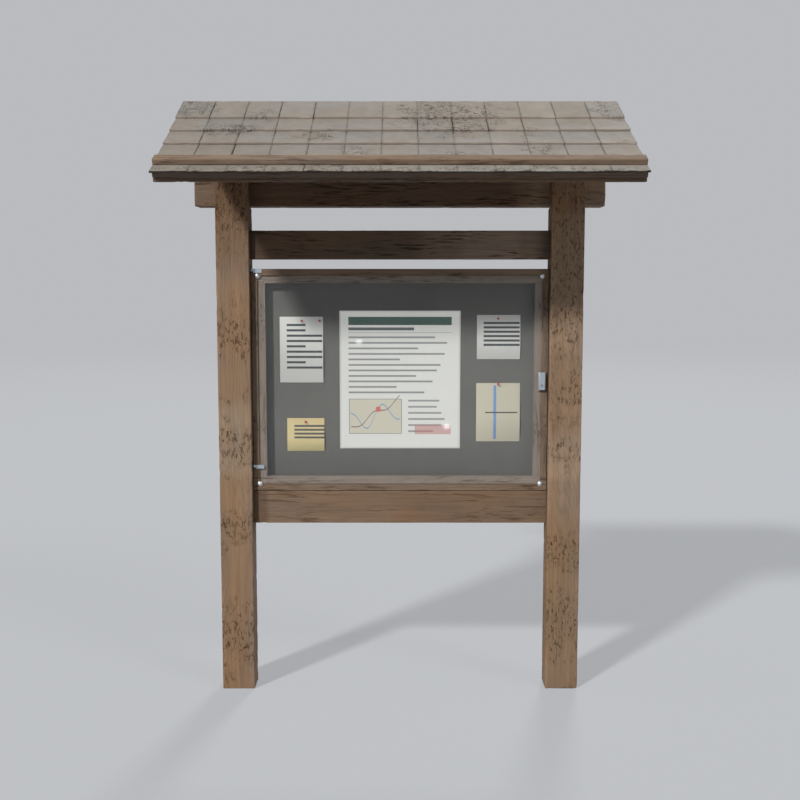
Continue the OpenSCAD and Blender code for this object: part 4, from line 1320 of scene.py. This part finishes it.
class BOARD_OT_metalwork(bpy.types.Operator):
    """Finish the hinges, the lock, the bolts and the screws"""

    bl_idname = "board.metalwork"
    bl_label = "Metalwork"

    def execute(self, context):
        metal = context.scene.board_metal
        zinc, steel = tuple(metal.zinc), tuple(metal.steel)
        width = metal.bevel
        hinge = metal_finish("hinge_zinc", zinc, 0.42)
        # Painted shade: the leaves on the post sit in its shade and get a dark brown in place of
        # bare zinc
        leaf_in_shade = metal_finish("zinc_painted_dark", tint(62, 54, 48), 0.7, metallic=0.3)
        soften(["hinge_leaves_post"], leaf_in_shade, width)
        soften(["hinge_leaves_door"], hinge, width)
        soften(["striker_plate", "lock_cam"], hinge, width)
        soften(["hinge_pins"], metal_finish("pin_steel", steel, 0.35), width)
        soften(["pane_bolts"], metal_finish("dome_steel", tuple(metal.dome), 0.42))
        rough = metal_finish("screw_steel", steel, 0.5, dirt=0.6)
        soften(["pane_nuts", "coach_screws", "truss_bolts"], rough, width)
        lock = metal_finish("lock_zinc", zinc, 0.45, dirt=0.2)
        soften(["lock_case"], lock, width)
        soften(["lock_plug"], metal_finish("plug_nickel", tuple(metal.plug), 0.4))
        return {"FINISHED"}


class BOARD_OT_stage(bpy.types.Operator):
    """Set up the floor, the lights, the backdrop and the camera"""

    bl_idname = "board.stage"
    bl_label = "Stage"

    def execute(self, context):
        stage = context.scene.board_stage
        self.floor(stage)
        self.world(context.scene, stage)
        self.sun("key", stage.key, (0.743, 1.0, -0.857), 5.5)
        self.sun("fill", stage.fill, (-0.775, 0.628, -0.75), 18)
        self.sun("rim", stage.rim, (-0.2, -0.97, -0.57), 11)
        self.lamp("left_glint", (-0.335, -5.0, 1.029), 0.04)
        self.lamp("right_glint", (0.384, -5.0, 0.334), 0.05)
        data = bpy.data.cameras.new("view")
        data.lens, data.sensor_width = stage.lens, 36
        camera = placed("view", data)
        camera.location, camera.rotation_euler = EYE, (math.pi / 2 - LOOK_DOWN, 0, 0)
        context.scene.camera = camera
        context.scene.view_settings.view_transform = "Standard"
        return {"FINISHED"}

    @staticmethod
    def sun(name, strength, direction, spread):
        data = bpy.data.lights.new(name, "SUN")
        data.energy, data.angle = strength, math.radians(spread)
        made = placed(name, data)
        made.rotation_euler = Vector(direction).to_track_quat("-Z", "Y").to_euler()

    @staticmethod
    def lamp(name, place, power):
        """A coin-sized lamp that shows as a glint in the pane."""
        data = bpy.data.lights.new(name, "AREA")
        data.shape, data.size, data.energy = "DISK", 0.05, power
        made = placed(name, data)
        made.location, made.rotation_euler = place, (math.radians(90), 0, 0)
        made.visible_camera = False

    @staticmethod
    def floor(stage):
        """A round floor whose colour runs into the backdrop's with distance. To
        the camera part of it glows, so that the shadows on it stay light."""
        turn = np.linspace(0, 2 * np.pi, 65)[:-1][:, None]
        reach = np.array([0.001, 1, 2, 4, 8, 16, 32, 60])[None, :]
        points = np.stack([reach * np.cos(turn), reach * np.sin(turn), 0 * reach * turn], -1)
        faces = grid_faces(64, 8, True)[:, ::-1]
        mesh = bpy.data.meshes.new("floor")
        mesh.from_pydata(points.reshape(-1, 3), [], faces.tolist())
        placed("floor", mesh)
        f = Finish("floor_paint", Roughness=0.9, Specular_IOR_Level=0.1)
        f.surface.inputs["Base Color"].default_value = (*stage.floor, 1)
        x, y, _ = f.split(f.position())
        far = f.step(f.maths("SQRT", x * x + y * y), 5, 24)
        glow = f.mix(far, tint(190, 192, 196), tuple(stage.backdrop))
        light = f.node("ShaderNodeEmission", None, {0: glow})
        camera = f.node("ShaderNodeLightPath", output="Is Camera Ray")
        f.show(camera * (0.56 + far * 0.44), Wire(f, f.surface.outputs[0]), light)
        mesh.materials.append(f.material)

    @staticmethod
    def world(scene, stage):
        """Soft light from all around, and the backdrop's colour for what the
        camera, the glass and the metal see."""
        scene.world = bpy.data.worlds.new("room")
        scene.world.use_nodes = True
        f = Graph(scene.world.node_tree, "World Output")
        kinds = ("Is Camera Ray", "Is Glossy Ray", "Is Transmission Ray")
        camera, glossy, passing = (f.node("ShaderNodeLightPath", output=kind) for kind in kinds)
        soft = f.node("ShaderNodeBackground", None, {0: (0.92, 0.96, 1.0, 1), 1: stage.ambient})
        back = f.node("ShaderNodeBackground", None, {0: (*stage.backdrop, 1)})
        f.show(camera | glossy | passing, soft, back)


GROUPS = {
    "board_timber": TimberSettings,
    "board_roof": RoofSettings,
    "board_case": CaseSettings,
    "board_metal": MetalSettings,
    "board_stage": StageSettings,
}
OPERATORS = (
    BOARD_OT_posts,
    BOARD_OT_rails,
    BOARD_OT_trusses,
    BOARD_OT_roof_boards,
    BOARD_OT_shingles,
    BOARD_OT_battens,
    BOARD_OT_case,
    BOARD_OT_door,
    BOARD_OT_sheets,
    BOARD_OT_pins,
    BOARD_OT_metalwork,
    BOARD_OT_stage,
)


class BOARD_PT_panel(bpy.types.Panel):
    """Settings and steps of the notice board"""

    bl_idname = "BOARD_PT_panel"
    bl_label = "Notice board"
    bl_space_type = "VIEW_3D"
    bl_region_type = "UI"
    bl_category = "Notice board"

    def draw(self, context):
        for key, group in GROUPS.items():
            box = self.layout.box()
            for name in group.__annotations__:
                box.prop(getattr(context.scene, key), name)
        for step in OPERATORS:
            self.layout.operator(step.bl_idname)


def register():
    for made in (*GROUPS.values(), *OPERATORS, BOARD_PT_panel):
        bpy.utils.register_class(made)
    for key, group in GROUPS.items():
        setattr(bpy.types.Scene, key, PointerProperty(type=group))


def unregister():
    for key in GROUPS:
        delattr(bpy.types.Scene, key)
    for made in (BOARD_PT_panel, *reversed(OPERATORS), *reversed(GROUPS.values())):
        bpy.utils.unregister_class(made)


def main():
    register()
    for step in OPERATORS:
        getattr(bpy.ops.board, step.bl_idname.split(".")[1])()


if __name__ == "__main__":
    main()
